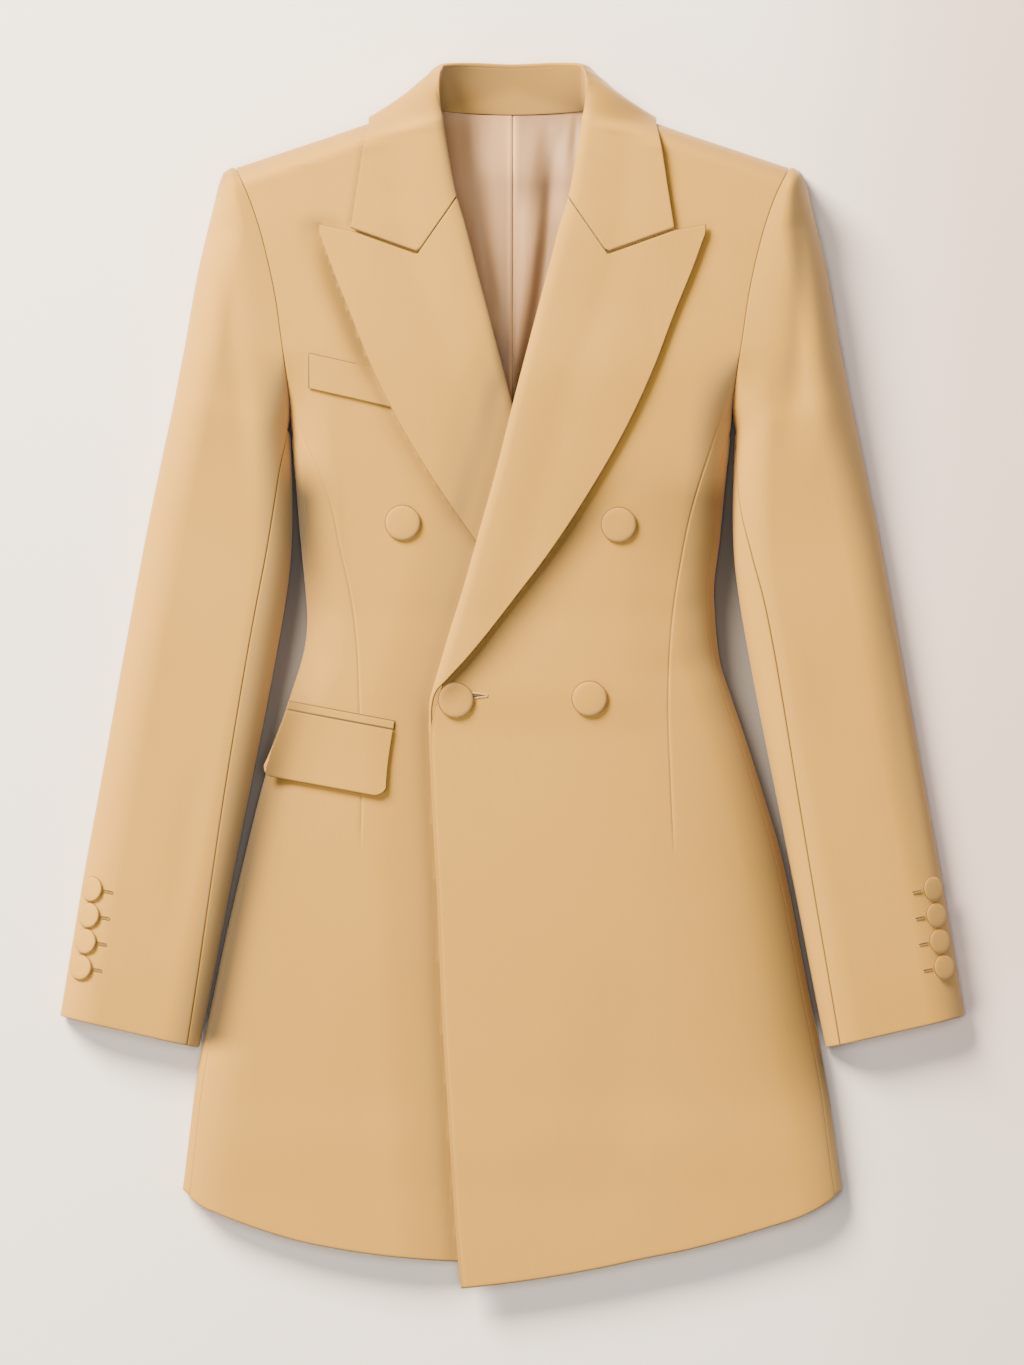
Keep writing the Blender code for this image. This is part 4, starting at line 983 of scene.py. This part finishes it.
def collar_front_stations():
    """Leaf and stand sections from the gorge up to the shoulder, over the wearer's left front."""
    u = crowded(40)
    leaves, stands = [], []
    for v in (0, 0.1, 0.2, 0.32, 0.44, 0.56, 0.68, 0.8, 0.9, 1):
        roll_y = mix(GORGE[1], COLLAR_FRONT_TOP[0], v) + (GORGE_GAP if v == 0 else 0)
        edge_y = mix(COLLAR_TIP[1], COLLAR_FRONT_TOP[1], v)
        roll_x, edge_x = FRONT_EDGE.at("x", roll_y), COLLAR_EDGE.at("x", edge_y)
        tail = fold_tail(LEFT, np.array(roll_x), np.array(roll_y), FOLD_HEIGHT / 2)
        tail[0][0] = tail[1][0] = roll_x + STAND_TAIL
        tail[1][0] -= 0.1
        x = mix(roll_x, edge_x, u)
        bend = np.interp(u, (0, COLLAR_NOTCH_SHARE, 1), (GORGE[1], NOTCH[1], COLLAR_TIP[1]))
        bend = bend - mix(GORGE[1], COLLAR_TIP[1], u) + GORGE_GAP + 0.6 * smooth(0.33, 0.4, u)
        y = mix(roll_y, edge_y, u) + bend * (1 - smooth(0, 0.6, v))
        face = rolled(LEFT, x, y, x - roll_x, lapel_lift(LEFT, x - roll_x, y))
        leaves.append(np.concatenate([np.array(tail), face]))
        seam = np.array((roll_x + FOLD_TAIL - 0.9, roll_y, tail[0][2]))
        join = np.array((roll_x + STAND_TAIL + JOIN, roll_y, tail[0][2]))
        stands.append(mix(seam, join, crowded(24)[:, None]))
    return leaves, stands


def collar_turn_stations():
    """The same from the shoulder round to the centre back."""
    leaves, stands = [], []
    for station in COLLAR_TURN:
        seam, roll, middle, edge = np.array(station, dtype=float)
        down = unit(seam - roll)
        inner = roll + down * STAND_START
        outer = bezier(roll, middle, edge, 0.06)
        t = np.array((0, 0.02, 0.1, 0.3, 0.55, 0.8))[:, None]
        over = inner * (1 - t) ** 3 + roll * 3 * t * (1 - t) + outer * t ** 3
        leaf = bezier(roll, middle, edge, mix(0.06, 1.0, crowded(40)))
        leaves.append(np.concatenate([over, leaf]))
        stands.append(mix(seam, inner + down * JOIN, crowded(24)[:, None]))
    return leaves, stands


def lofted(stations, between=7):
    """Smooth rows through mirrored stations."""
    half = np.array(stations)
    full = np.concatenate([half, half[:-1][::-1] * (-1, 1, 1)])
    slopes = np.gradient(full, axis=0)
    rows = [curve(full[i], full[i + 1], slopes[i], slopes[i + 1], t)
            for i in range(len(full) - 1) for t in np.arange(between) / between]
    return np.array(rows + [full[-1]])


front_leaves, front_stands = collar_front_stations()
turn_leaves, turn_stands = collar_turn_stations()
leaf = wall("collar_fall", lofted(front_leaves + turn_leaves), CLOTH, 1, flush=("first_column",))
sewn(leaf, ["collar_fall"], ["front_left", "front_right", "back_left", "back_right"])
stand = wall("collar_stand", lofted(front_stands + turn_stands), CLOTH, 1,
             flush=("first_column", "last_column"))
sewn(stand, ["collar_stand"], ["collar_fall"])

# %% [markdown]
# ## Sleeves
# A tailored sleeve has two parts, a wide upper one and a narrow under one. The front seam lies a little in
# from the inner edge and the back seam is out of sight beneath. We work out the section at each level: flat
# on the table, round at both edges and low on top. Above the armpit, the inner edge is the armhole, and the
# sleeve's head is set in with a little fullness.

# %% Two-part sleeves
SLEEVE_FOOT, SLEEVE_TURN, BACK_SEAM = 6.0, 27.0, 11.0
FOLD_DEPTH = 1.25                 # factor on the heights of the folds below
SLEEVE_FOLDS = {                  # x, y, height, width, on the wearer's left or right
    LEFT: (
        ((196, 345, 0.0, 4), (201, 310, -1.6, 6), (202, 260, -2.0, 8), (198, 205, -1.4, 9),
         (190, 150, 0, 10)),
        ((214, 250, 0.0, 8), (216, 190, 1.0, 10), (212, 130, 0.0, 12)),
        ((262, 60, 0.0, 14), (272, -20, -1.3, 16), (284, -110, -1.0, 16), (292, -190, 0.0, 14)),
        ((180, 60, 0.0, 10), (196, 10, 0.8, 14), (214, -60, 0.0, 14)),
    ),
    RIGHT: (
        ((-196, 330, 0.0, 5), (-198, 290, -1.0, 7), (-196, 240, -1.6, 9), (-190, 180, -1.0, 10),
         (-186, 120, 0, 12)),
        ((-222, 240, 0.0, 8), (-222, 190, 0.9, 11), (-218, 130, 0.0, 12)),
        ((-240, 90, 0.0, 14), (-256, 10, 0.8, 18), (-272, -90, 0.0, 18)),
        ((-214, -40, 0.0, 10), (-226, -120, -0.9, 14), (-238, -200, 0.0, 14)),
    ),
}


def sleeve_sections(side, levels):
    section = {name: SLEEVE.at(name, levels)[:, None] for name in SLEEVE.columns[1:]}
    section["seam"] = np.maximum(section["left" if side == LEFT else "right"], 0)
    section["joined"] = smooth(168, 190, levels)[:, None]
    armhole = abs(side_edge(side, levels))[:, None] + JOIN / 2
    section["in_x"] = mix(section["in_x"], armhole, section["joined"])
    section["in_y"] = levels[:, None]
    section["rise"] = mix(section["rise"], BODY.at("rise", levels)[:, None], section["joined"])
    section["width"] = np.hypot(section["out_x"] - section["in_x"], section["out_y"] - section["in_y"])
    section["foot"] = np.minimum(SLEEVE_FOOT, section["width"] * 0.4)
    section["turn"] = np.minimum(SLEEVE_TURN, section["width"] * 0.7)
    return section


def sleeve_top(side, section, along):
    """Height of the sleeve's upper face at a distance from its inner edge."""
    width, in_y, joined = section["width"], section["in_y"], section["joined"]
    squared = smooth(LOWER_ARMHOLE, ARMPIT_TOP, in_y)
    round_in = mix(quarter(along / SLEEVE_TURN), 1.0, squared)
    shoulder = quarter(shoulder_depth(side_edge(side, in_y), in_y) / SHOULDER_TURN)
    round_in = round_in * mix(1.0, shoulder, joined)
    foot = mix(section["foot"], mix(section["foot"], FOOT, 1 - along / width), joined)
    round_out = quarter((width - along) / section["turn"])
    head = section["fullness"] * np.sin(np.pi * np.clip(along / width, 0, 1))
    return foot + (section["rise"] + head - foot) * round_in * round_out


def sleeve_points(side, section, along, height, lines=()):
    """Points of a sleeve by their distance from its inner edge, with folds where lines are given."""
    share = along / section["width"]
    x = side * mix(section["in_x"], section["out_x"], share)
    y = mix(section["in_y"], section["out_y"], share)
    if lines:
        height = height + creased(x, y, lines) * smooth(0, 14, section["width"] - along)
    return xyz(x, y, height)


def sleeve_levels():
    cuff = np.array([-260.8, -260.6, -260.1, -259.2, -257.8])
    head = np.array([347.0, 349.0, 351.0, 352.5, 353.6, 354.2, 354.6])
    return np.concatenate([cuff, np.arange(-255, 346, 3.4), head])


def make_sleeve(side, name):
    levels = sleeve_levels()
    section = sleeve_sections(side, levels)
    width, foot, turn, start = (section[key] for key in ("width", "foot", "turn", "seam"))
    folds = [flowing(line, 14) * (1, 1, FOLD_DEPTH, 1) for line in SLEEVE_FOLDS[side]]
    top = mix(start, width - turn, crowded(44)[:-1])
    bend = width - turn * (1 - np.sin(np.radians(np.linspace(0, 88, 14))))
    over = np.concatenate([top, bend], axis=1)
    points = [sleeve_points(side, section, over, sleeve_top(side, section, over), folds)]
    angle = np.radians(np.linspace(0, 90, 8))
    along, height = width - foot * (1 - np.cos(angle)), foot * (1 - np.sin(angle))
    points.append(sleeve_points(side, section, along, height))
    back_seam = np.minimum(BACK_SEAM, width * 0.6)
    tail = mix(width - foot, width - back_seam, np.array([[0.5, 0.9, 1.0]]))
    points.append(sleeve_points(side, section, tail, 0.0))
    upper = wall("sleeve_upper_" + name, np.concatenate(points, axis=1), CLOTH, side,
                 inside=SATIN, faced=("first_row",))
    sewn(upper, ["sleeve_upper_" + name], ["sleeve_under_" + name])

    last = width - back_seam - JOIN
    joined = section["joined"]
    flat = mix(last, foot, crowded(16))
    angle = np.radians(np.linspace(0, 90, 10)[1:])
    up = foot * (1 - np.sin(angle))
    rise = np.maximum(start - JOIN, 0.0) * crowded(24)[1:]
    along = np.concatenate([flat, up, rise], axis=1)
    height = np.concatenate([0 * flat, foot * (1 - np.cos(angle)) + 0 * up,
                             np.maximum(sleeve_top(side, section, rise), foot + 0.05)], axis=1)
    closed = mix(last, JOIN, np.linspace(0, 1, along.shape[1])[None, :])
    along, height = mix(along, closed, joined), mix(height, 0 * height, joined)
    under = wall("sleeve_under_" + name, sleeve_points(side, section, along, height), CLOTH, side,
                 inside=SATIN, faced=("first_row",))
    sewn(under, ["sleeve_under_" + name], ["back_" + name])


for side, name in SIDES:
    make_sleeve(side, name)

# %% [markdown]
# ## Pockets
# The hip pocket is set in under a narrow jet, and its flap hangs over the opening with rounded lower
# corners. The breast pocket has only a welt, whose end disappears beneath the lapel. Each piece is a patch
# between four corners, laid on the front's own height and lifted by the cloth beneath it. The flap reaches
# past the side a little, so it stays level there.

# %% Flap, jet and welt
FLAP = ((-157.9, -23.9), (-83.0, -37.9), (-90.7, -85.1), (-175.4, -69.4))
JET = ((-156.5, -17.9), (-82.3, -31.9), (-83.0, -37.5), (-157.9, -23.5))
WELT = ((-141.8, 224.4), (-84.0, 211.3), (-84.0, 186.8), (-141.8, 199.9))
FLAP_LEVEL, FLAP_EASE = 17.0, 12.0  # where the flap leaves the front's round, and how gently


def levelled(x, y):
    """The place on the front whose height the flap takes, so it stays level past the side."""
    from_level = x - side_edge(RIGHT, y) - FLAP_LEVEL
    return x + (np.hypot(from_level, FLAP_EASE) - from_level) / 2


def patch(corners, columns, rows, lift, level=False, corner=0.0):
    """A patch on the wearer's right front, whose lower corners may be rounded."""
    top_left, top_right, low_right, low_left = np.array(corners)
    u, v = crowded(columns)[None, :, None], crowded(rows)[:, None, None]
    spot = mix(mix(top_left, top_right, u), mix(low_left, low_right, u), v)
    if corner:
        width = np.linalg.norm(low_right - low_left)
        from_side = np.minimum(u, 1 - u) * width
        short = corner * (1 - quarter(from_side / corner))
        spot = spot + unit(top_left - low_left) * short * v ** 3
    x, y = spot[..., 0], spot[..., 1]
    z = on_front(RIGHT, levelled(x, y) if level else x, y, np.broadcast_to(lift, x.shape))[..., 2]
    return xyz(x, y, z)


flap_lift = mix(CLOTH + 0.8, CLOTH + 1.9, crowded(30)[:, None] ** 2)
flap = wall("pocket_flap", patch(FLAP, 60, 30, flap_lift, True, 7.0), CLOTH, -1)
sewn(flap, ["pocket_flap"], ["front_right"])
jet = wall("pocket_jet", patch(JET, 60, 10, TRIM + 0.5, True), TRIM, -1)
sewn(jet, ["pocket_jet"], ["front_right"])
welt = wall("chest_welt", patch(WELT, 50, 24, TRIM + 0.9), TRIM, -1)
sewn(welt, ["chest_welt"], ["front_right"])

# %% [markdown]
# ## Buttons
# The buttons are covered with the jacket's own cloth: a disc of it is drawn over a domed blank and gathered
# beneath. A turned profile gives the dome, its firm shoulder and the rim. The gathers are a slight ripple on
# the lower half of the rim, and the rim, where the cloth turns under, is coloured darker as painted shade.
# Each button stands off the cloth by the height of its thread.

# %% Covered buttons
FRONT_BUTTONS = ((-76.7, 106.8), (73.9, 105.4), (53.6, -15.8), (-39.6, -16.9))
CUFF_BUTTONS = ((293.4, -149.4), (295.6, -167.7), (298.0, -185.9), (301.2, -204.1))
FRONT_BUTTON_SIZE, CUFF_BUTTON_SIZE, BUTTON_GAP = 25.0, 17.6, 0.3
BUTTON_PROFILE = (                # radius and height, as shares of the radius and of the depth
    (0.0, 1.0), (0.2, 0.995), (0.4, 0.98), (0.58, 0.95), (0.72, 0.91), (0.82, 0.86), (0.89, 0.79),
    (0.945, 0.69), (0.98, 0.57), (1.0, 0.43), (0.995, 0.3), (0.965, 0.17), (0.9, 0.06), (0.82, 0.0),
    (0.0, 0.0),
)
BUTTON_STEPS, GATHERS = 72, 26
RIM_SHADE_RING = 6                      # from this ring of the profile on, the cloth turns under and gets a painted shade


def make_button(name, spot, normal, size):
    radius, depth = size / 2, size * 0.135
    angle = np.arange(BUTTON_STEPS) * 2 * np.pi / BUTTON_STEPS
    up = unit(normal)
    ahead = unit(np.cross(up, (1.0, 0.0, 0.0)))
    aside = np.cross(ahead, up)
    rings, cuts, run = [], [], 0.0
    for step, (share, level) in enumerate(BUTTON_PROFILE[1:-1]):
        ripple = 1 + 0.008 * np.cos(GATHERS * angle) * (level < 0.5)
        reach = radius * share * ripple
        run += radius * (share - BUTTON_PROFILE[step][0]) if share > BUTTON_PROFILE[step][0] else depth * 0.1
        ring = (spot + up * (BUTTON_GAP + depth * level) + np.outer(reach * np.cos(angle), aside)
                + np.outer(reach * np.sin(angle), ahead))
        rings.append(ring)
        cuts.append(np.column_stack([run * np.cos(angle), run * np.sin(angle), 0 * angle]))
    rings, cuts = np.array(rings), np.array(cuts)
    count = len(rings)
    top, bottom = count * BUTTON_STEPS, count * BUTTON_STEPS + 1
    ends = [spot + up * (BUTTON_GAP + depth), spot + up * BUTTON_GAP]
    points = np.concatenate([rings.reshape(-1, 3), ends])
    places = np.concatenate([cuts.reshape(-1, 3), [(0, 0, 0), (0, 0, 0)]])
    # Faces from the rim ring on get the painted rim shade.
    faces, painted_rim_shade = [], []
    for s in range(BUTTON_STEPS):
        n = (s + 1) % BUTTON_STEPS
        faces += [(top, n, s), (bottom, (count - 1) * BUTTON_STEPS + s, (count - 1) * BUTTON_STEPS + n)]
        painted_rim_shade += [0, 1]
        for r in range(count - 1):
            a, b = r * BUTTON_STEPS, (r + 1) * BUTTON_STEPS
            faces.append((a + s, a + n, b + n, b + s))
            painted_rim_shade.append(int(r >= RIM_SHADE_RING))
    piece = mesh_object(name, points, faces, [BUTTON_SUITING, BUTTON_RIM_SHADE], places, painted_rim_shade)
    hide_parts(name)


def cuff_place(side, x, y, probe=0.5):
    """Point and normal on a sleeve, where its surface rounds over."""
    level = np.array([float(y)])
    for _ in range(6):
        section = sleeve_sections(side, level)
        share = (x - section["in_x"]) / (section["out_x"] - section["in_x"])
        level = level + (y - mix(section["in_y"], section["out_y"], share))[0]
    along = share * section["width"]
    heights = [sleeve_top(side, section, along + step)[0, 0] for step in (-probe, 0, probe)]
    across = np.array((section["out_x"] - section["in_x"], section["out_y"] - section["in_y"]))[:, 0, 0]
    across = unit(across) * (heights[2] - heights[0]) / (2 * probe)
    return np.array((side * x, y, heights[1])), unit(np.array((-side * across[0], -across[1], 1.0)))


for number, (x, y) in enumerate(FRONT_BUTTONS, 1):
    side = RIGHT if number == 1 else LEFT
    base, raised = on_front(side, x, y), on_front(side, x, y, 1.0)
    make_button("button_front_%d" % number, base, raised - base, FRONT_BUTTON_SIZE)
for side, name in SIDES:
    for number, (x, y) in enumerate(CUFF_BUTTONS, 1):
        spot, normal = cuff_place(side, x, y)
        make_button("button_cuff_%s_%d" % (name, number), spot, normal, CUFF_BUTTON_SIZE)
print("buttons:", len(FRONT_BUTTONS) + 2 * len(CUFF_BUTTONS))

# %% [markdown]
# ## Buttonholes
# A worked buttonhole is a slit whose two lips are covered with close stitches of silk. Each stitch is a
# short bent tube from the slit out over the cloth. We make all the stitches of a hole as one mesh. A dark
# disc between the lips stands for the shade inside the slit, a painted shade.

# %% Stitched buttonholes
STITCH_RADIUS, CUFF_STITCH_RADIUS, STITCH_SPACING = 0.22, 0.18, 0.42
LIP, CUFF_LIP, CLOSED = 1.5, 0.9, 0.25   # width of the lips, and half the slit where it is closed
STITCH_LIFTS = (0.0, 0.42, 0.38, -0.05)  # height of a stitch over the cloth, from the slit outwards
SLIT_STEPS = 32


def tubes(lines, radius, sides=6):
    """One mesh of round threads along short lines of points."""
    points, faces = [], []
    for line in lines:
        line = np.array(line)
        ahead = unit(np.gradient(line, axis=0))
        aside = unit(np.cross(ahead, (0.0, 0.0, 1.0)))
        up = np.cross(aside, ahead)
        base = len(points)
        for p, a, b in zip(line, aside, up):
            for angle in np.arange(sides) * 2 * np.pi / sides:
                points.append(p + radius * (a * np.cos(angle) + b * np.sin(angle)))
        for r in range(len(line) - 1):
            for s in range(sides):
                n = (s + 1) % sides
                a, b = base + r * sides, base + (r + 1) * sides
                faces.append((a + s, a + n, b + n, b + s))
        faces.append(tuple(base + s for s in range(sides))[::-1])
        faces.append(tuple(base + (len(line) - 1) * sides + s for s in range(sides)))
    return np.array(points), faces


def hole_stitches(start, end, surface, lip=LIP, mouth=CLOSED):
    """Stitches along both lips of a hole from start to end, on a surface given as a function."""
    start, end = np.array(start, float), np.array(end, float)
    length = np.linalg.norm(end - start)
    ahead = (end - start) / length
    aside = np.array((-ahead[1], ahead[0]))
    lines = []

    def stitch(foot, way, reaches):
        spots = [foot + way * reach for reach in reaches]
        lines.append([surface(x, y, lift) for (x, y), lift in zip(spots, STITCH_LIFTS)])

    for run in np.arange(0, length, STITCH_SPACING):
        opening = mix(mouth, CLOSED, smooth(0.3, 1.0, run / length))
        for turn in (1, -1):
            stitch(start + ahead * run, aside * turn, np.array((0, 0.35, 0.8, lip - CLOSED)) + opening)
    for angle in np.radians(np.arange(-75, 76, 15)):
        stitch(end, ahead * np.cos(angle) + aside * np.sin(angle), (0.2, 0.6, 1.05, lip))
    return lines


def on_left_front(x, y, lift):
    return on_front(LEFT, x, y, lift)


def make_slit(name, centre, length, width, surface):
    """Painted shade for the inside of a hole: a dark disc, round at the button's end and narrow at the
    other.
    """
    angle = np.arange(SLIT_STEPS) * 2 * np.pi / SLIT_STEPS
    reach = mix(width * 0.3, width, smooth(-0.9, 0.3, -np.cos(angle)))
    x = centre[0] + length / 2 * np.cos(angle)
    y = centre[1] + reach / 2 * np.sin(angle)
    rim = surface(x, y, 0.12)
    points = np.concatenate([rim, rim - (0, 0, 0.3), [rim.mean(axis=0) + (0, 0, 0.05)],
                             [rim.mean(axis=0) - (0, 0, 0.3)]])
    faces, top, bottom = [], 2 * SLIT_STEPS, 2 * SLIT_STEPS + 1
    for i in range(SLIT_STEPS):
        n = (i + 1) % SLIT_STEPS
        faces += [(top, i, n), (bottom, SLIT_STEPS + n, SLIT_STEPS + i),
                  (i, SLIT_STEPS + i, SLIT_STEPS + n, n)]
    slit = mesh_object(name, points, faces, [SEAM_SHADE_THREAD])


make_slit("buttonhole_slit_shade", (-25.5, -14.2), 14.0, 2.6, on_left_front)
hole_lines = hole_stitches((-33.0, -14.3), (-18.4, -14.0), on_left_front, mouth=1.3)
points, faces = tubes(hole_lines, STITCH_RADIUS)
buttonhole = mesh_object("buttonhole_front", points, faces, [SILK])
for side, name in SIDES:
    def on_cuff(x, y, lift):
        spot, normal = cuff_place(side, side * x, y)
        return spot + normal * lift

    lines = []
    for x, y in CUFF_BUTTONS:
        near, far = (side * (x - 8.0), y - 1.2), (side * (x - 13.2), y - 2.2)
        lines += hole_stitches(near, far, on_cuff, CUFF_LIP)
    points, faces = tubes(lines, CUFF_STITCH_RADIUS)
    holes = mesh_object("buttonholes_cuff_" + name, points, faces, [CUFF_SILK])
print("stitches in the front buttonhole:", len(hole_lines))

# %% [markdown]
# ## Thread and painted shade in the pockets' seams
# The jet of the hip pocket is stitched in the ditch: the thread lies in the seam itself. We lay it as a thin
# tube, half sunk into the cloth, along the jet and along the seam between jet and flap, and colour it near
# black, so that it gives the fine dark line of painted shade along the jet. The thread round the breast
# pocket's welt is sunk deeper, so that only a hair of it shows.

# %% Stitching in the ditch, dark as painted shade
DITCH_RADIUS = 0.34
JET_LINE = ((-156.9, -17.6), (-81.9, -31.8), (-82.6, -38.0))
FLAP_LINE = ((-157.6, -23.75), (-83.2, -37.75))
WELT_LINE = ((-90.0, 212.9), (-141.95, 224.65), (-141.95, 200.2))


def run_along(corners, step=1.5):
    """Points close together along a line with corners."""
    spots = [corners[0]]
    for start, end in zip(corners, corners[1:]):
        count = max(2, int(np.hypot(end[0] - start[0], end[1] - start[1]) / step))
        spots += list(mix(np.array(start), np.array(end), np.arange(1, count + 1)[:, None] / count))
    return np.array(spots)


threads = []
for corners, lift in ((JET_LINE, 0.12), (FLAP_LINE, TRIM + 0.75), (WELT_LINE, -0.22)):
    spots = run_along(corners)
    line = on_front(RIGHT, levelled(*spots.T), spots[:, 1], np.full(len(spots), lift))
    line[:, :2] = spots
    threads.append(line)
points, faces = tubes(threads, DITCH_RADIUS)
ditch = mesh_object("pocket_stitching", points, faces, [SEAM_SHADE_THREAD])
print("pocket stitching: %.0f mm" % sum(arc(line[None], 1)[0, -1] for line in threads))

# %% [markdown]
# ## Table, light and camera
# The jacket lies on a plain pale surface and is seen from straight above. A long lens, far away, keeps the
# sleeves from leaning outwards. The light is a large soft box at the upper left, a weaker one overhead, a
# white card and a faint, even light from all round, so shadows are soft and fall to the lower right. The
# surface is a grid, so that painted shade can be kept with its points: darker in the gaps beside the body,
# where hardly any light gets in, a painted shadow of the cuff beside the skirt, and a darker, warmer
# painted fall-off of the light on the side away from the soft box.

# %% Pale surface
FLOOR_SIZE, FLOOR_DEPTH = 8.0, -0.3   # metres across, and its height in millimetres
# Painted shade in the gaps, and the painted fall-off of the light away from the soft box.
GAP_SHADE, FALLOFF_SHADE_PALE = (0.06, 0.050, 0.042, 1), (0.70, 0.575, 0.545, 1)


def make_floor():
    paint = Finish("pale_surface", roughness=0.9, specular=0.15)
    place = paint.node("ShaderNodeTexCoord", output="Object")
    pale = paint.blend(paint.noise(place, 3.0), (0.85, 0.810, 0.790, 1), (0.87, 0.830, 0.810, 1))
    # Painted fall-off of the light, then painted shade in the gaps and the painted shadow beside the skirt.
    falloff_tinted = paint.blend(paint.attribute("light_falloff", "Fac"), pale, FALLOFF_SHADE_PALE)
    paint.set(base_color=paint.blend(paint.attribute("shade", "Fac"), falloff_tinted, GAP_SHADE))
    half = FLOOR_SIZE * 500
    x, y = np.meshgrid(np.concatenate([[-half, -340], np.arange(-330, 331, 3), [340, half]]),
                       np.concatenate([[-half, -450], np.arange(-440, 241, 6), [250, half]]))
    faces = quads(np.arange(x.size).reshape(x.shape)).tolist()
    x, y = x.ravel(), y.ravel()
    level = np.clip(y, -260, 200)
    gap = gap_width(x, level)
    within = 1 - smooth(gap / 2 + 3, gap / 2 + 12, abs(abs(x) - body_edge(x, level) - gap / 2))
    shaded = (0.88 + 0.08 * smooth(0, 120, y)) * within * smooth(-275, -235, y) * (1 - smooth(190, 240, y))
    past = np.maximum(x - BODY.at("left", y), 0)
    # Painted shadow of the cuff on the surface beside the skirt.
    cuff_shadow = 0.24 * np.exp(-(past / 18) ** 2) * (x > 0) * smooth(-400, -350, y) * (1 - smooth(-262, -240, y))
    # Painted fall-off of the light, away from the soft box.
    light_falloff = smooth(150, 350, x) * (0.4 + 0.6 * smooth(-400, -100, y))
    mesh = bpy.data.meshes.new("floor")
    mesh.from_pydata((xyz(x, y, FLOOR_DEPTH) * 0.001).tolist(), [], faces)
    for name, values in (("shade", np.maximum(shaded, cuff_shadow)), ("light_falloff", light_falloff)):
        mesh.attributes.new(name, "FLOAT", "POINT").data.foreach_set("value", values)
    mesh.materials.append(paint.material)
    floor = placed("floor", mesh)
    return len(faces)


print("cells of the surface:", make_floor())

# %% Soft light and the camera
KEY = ((-1.8, 2.25, 1.85), 1.6, 640.0, (1.0, 0.86, 0.66))      # place, size, power, colour
CARD = ((-2.3, -1.3, 1.6), 1.6, 60.0, (1.0, 0.90, 0.74))
OVERHEAD = ((0.0, 0.0, 2.6), 1.2, 45.0, (1.0, 0.93, 0.84))
FILL_STRENGTH, FILL_COLOUR = 0.115, (0.96, 0.93, 0.92, 1)
CAMERA_HEIGHT, FRAME_HEIGHT, FRAME_CENTRE = 6.0, 0.9555, (-0.00035, -0.0049)
SENSOR, FRAME_LEVEL = 36.0, 0.015   # millimetres, and the height in metres that the frame is measured at


def make_light(name, place, size, power, colour):
    light = bpy.data.lights.new(name, "AREA")
    light.shape, light.size, light.energy, light.color = "DISK", size, power, colour
    lamp = placed(name, light)
    lamp.location = place
    towards = -np.array(place)
    lamp.rotation_euler = (np.arctan2(np.hypot(towards[0], towards[1]), -towards[2]), 0,
                           np.arctan2(-towards[0], towards[1]))


make_light("soft_box", *KEY)
make_light("white_card", *CARD)
make_light("overhead", *OVERHEAD)
world = bpy.data.worlds.new("studio")
world.use_nodes = True
background = world.node_tree.nodes["Background"]
background.inputs["Color"].default_value = FILL_COLOUR
background.inputs["Strength"].default_value = FILL_STRENGTH
bpy.context.scene.world = world

camera_data = bpy.data.cameras.new("camera")
camera_data.sensor_width = SENSOR
camera_data.lens = SENSOR * (CAMERA_HEIGHT - FRAME_LEVEL) / FRAME_HEIGHT
camera_data.clip_end = 50.0
camera = placed("camera", camera_data)
camera.location = (*FRAME_CENTRE, CAMERA_HEIGHT)
bpy.context.scene.camera = camera
print("lens: %.0f mm" % camera_data.lens)
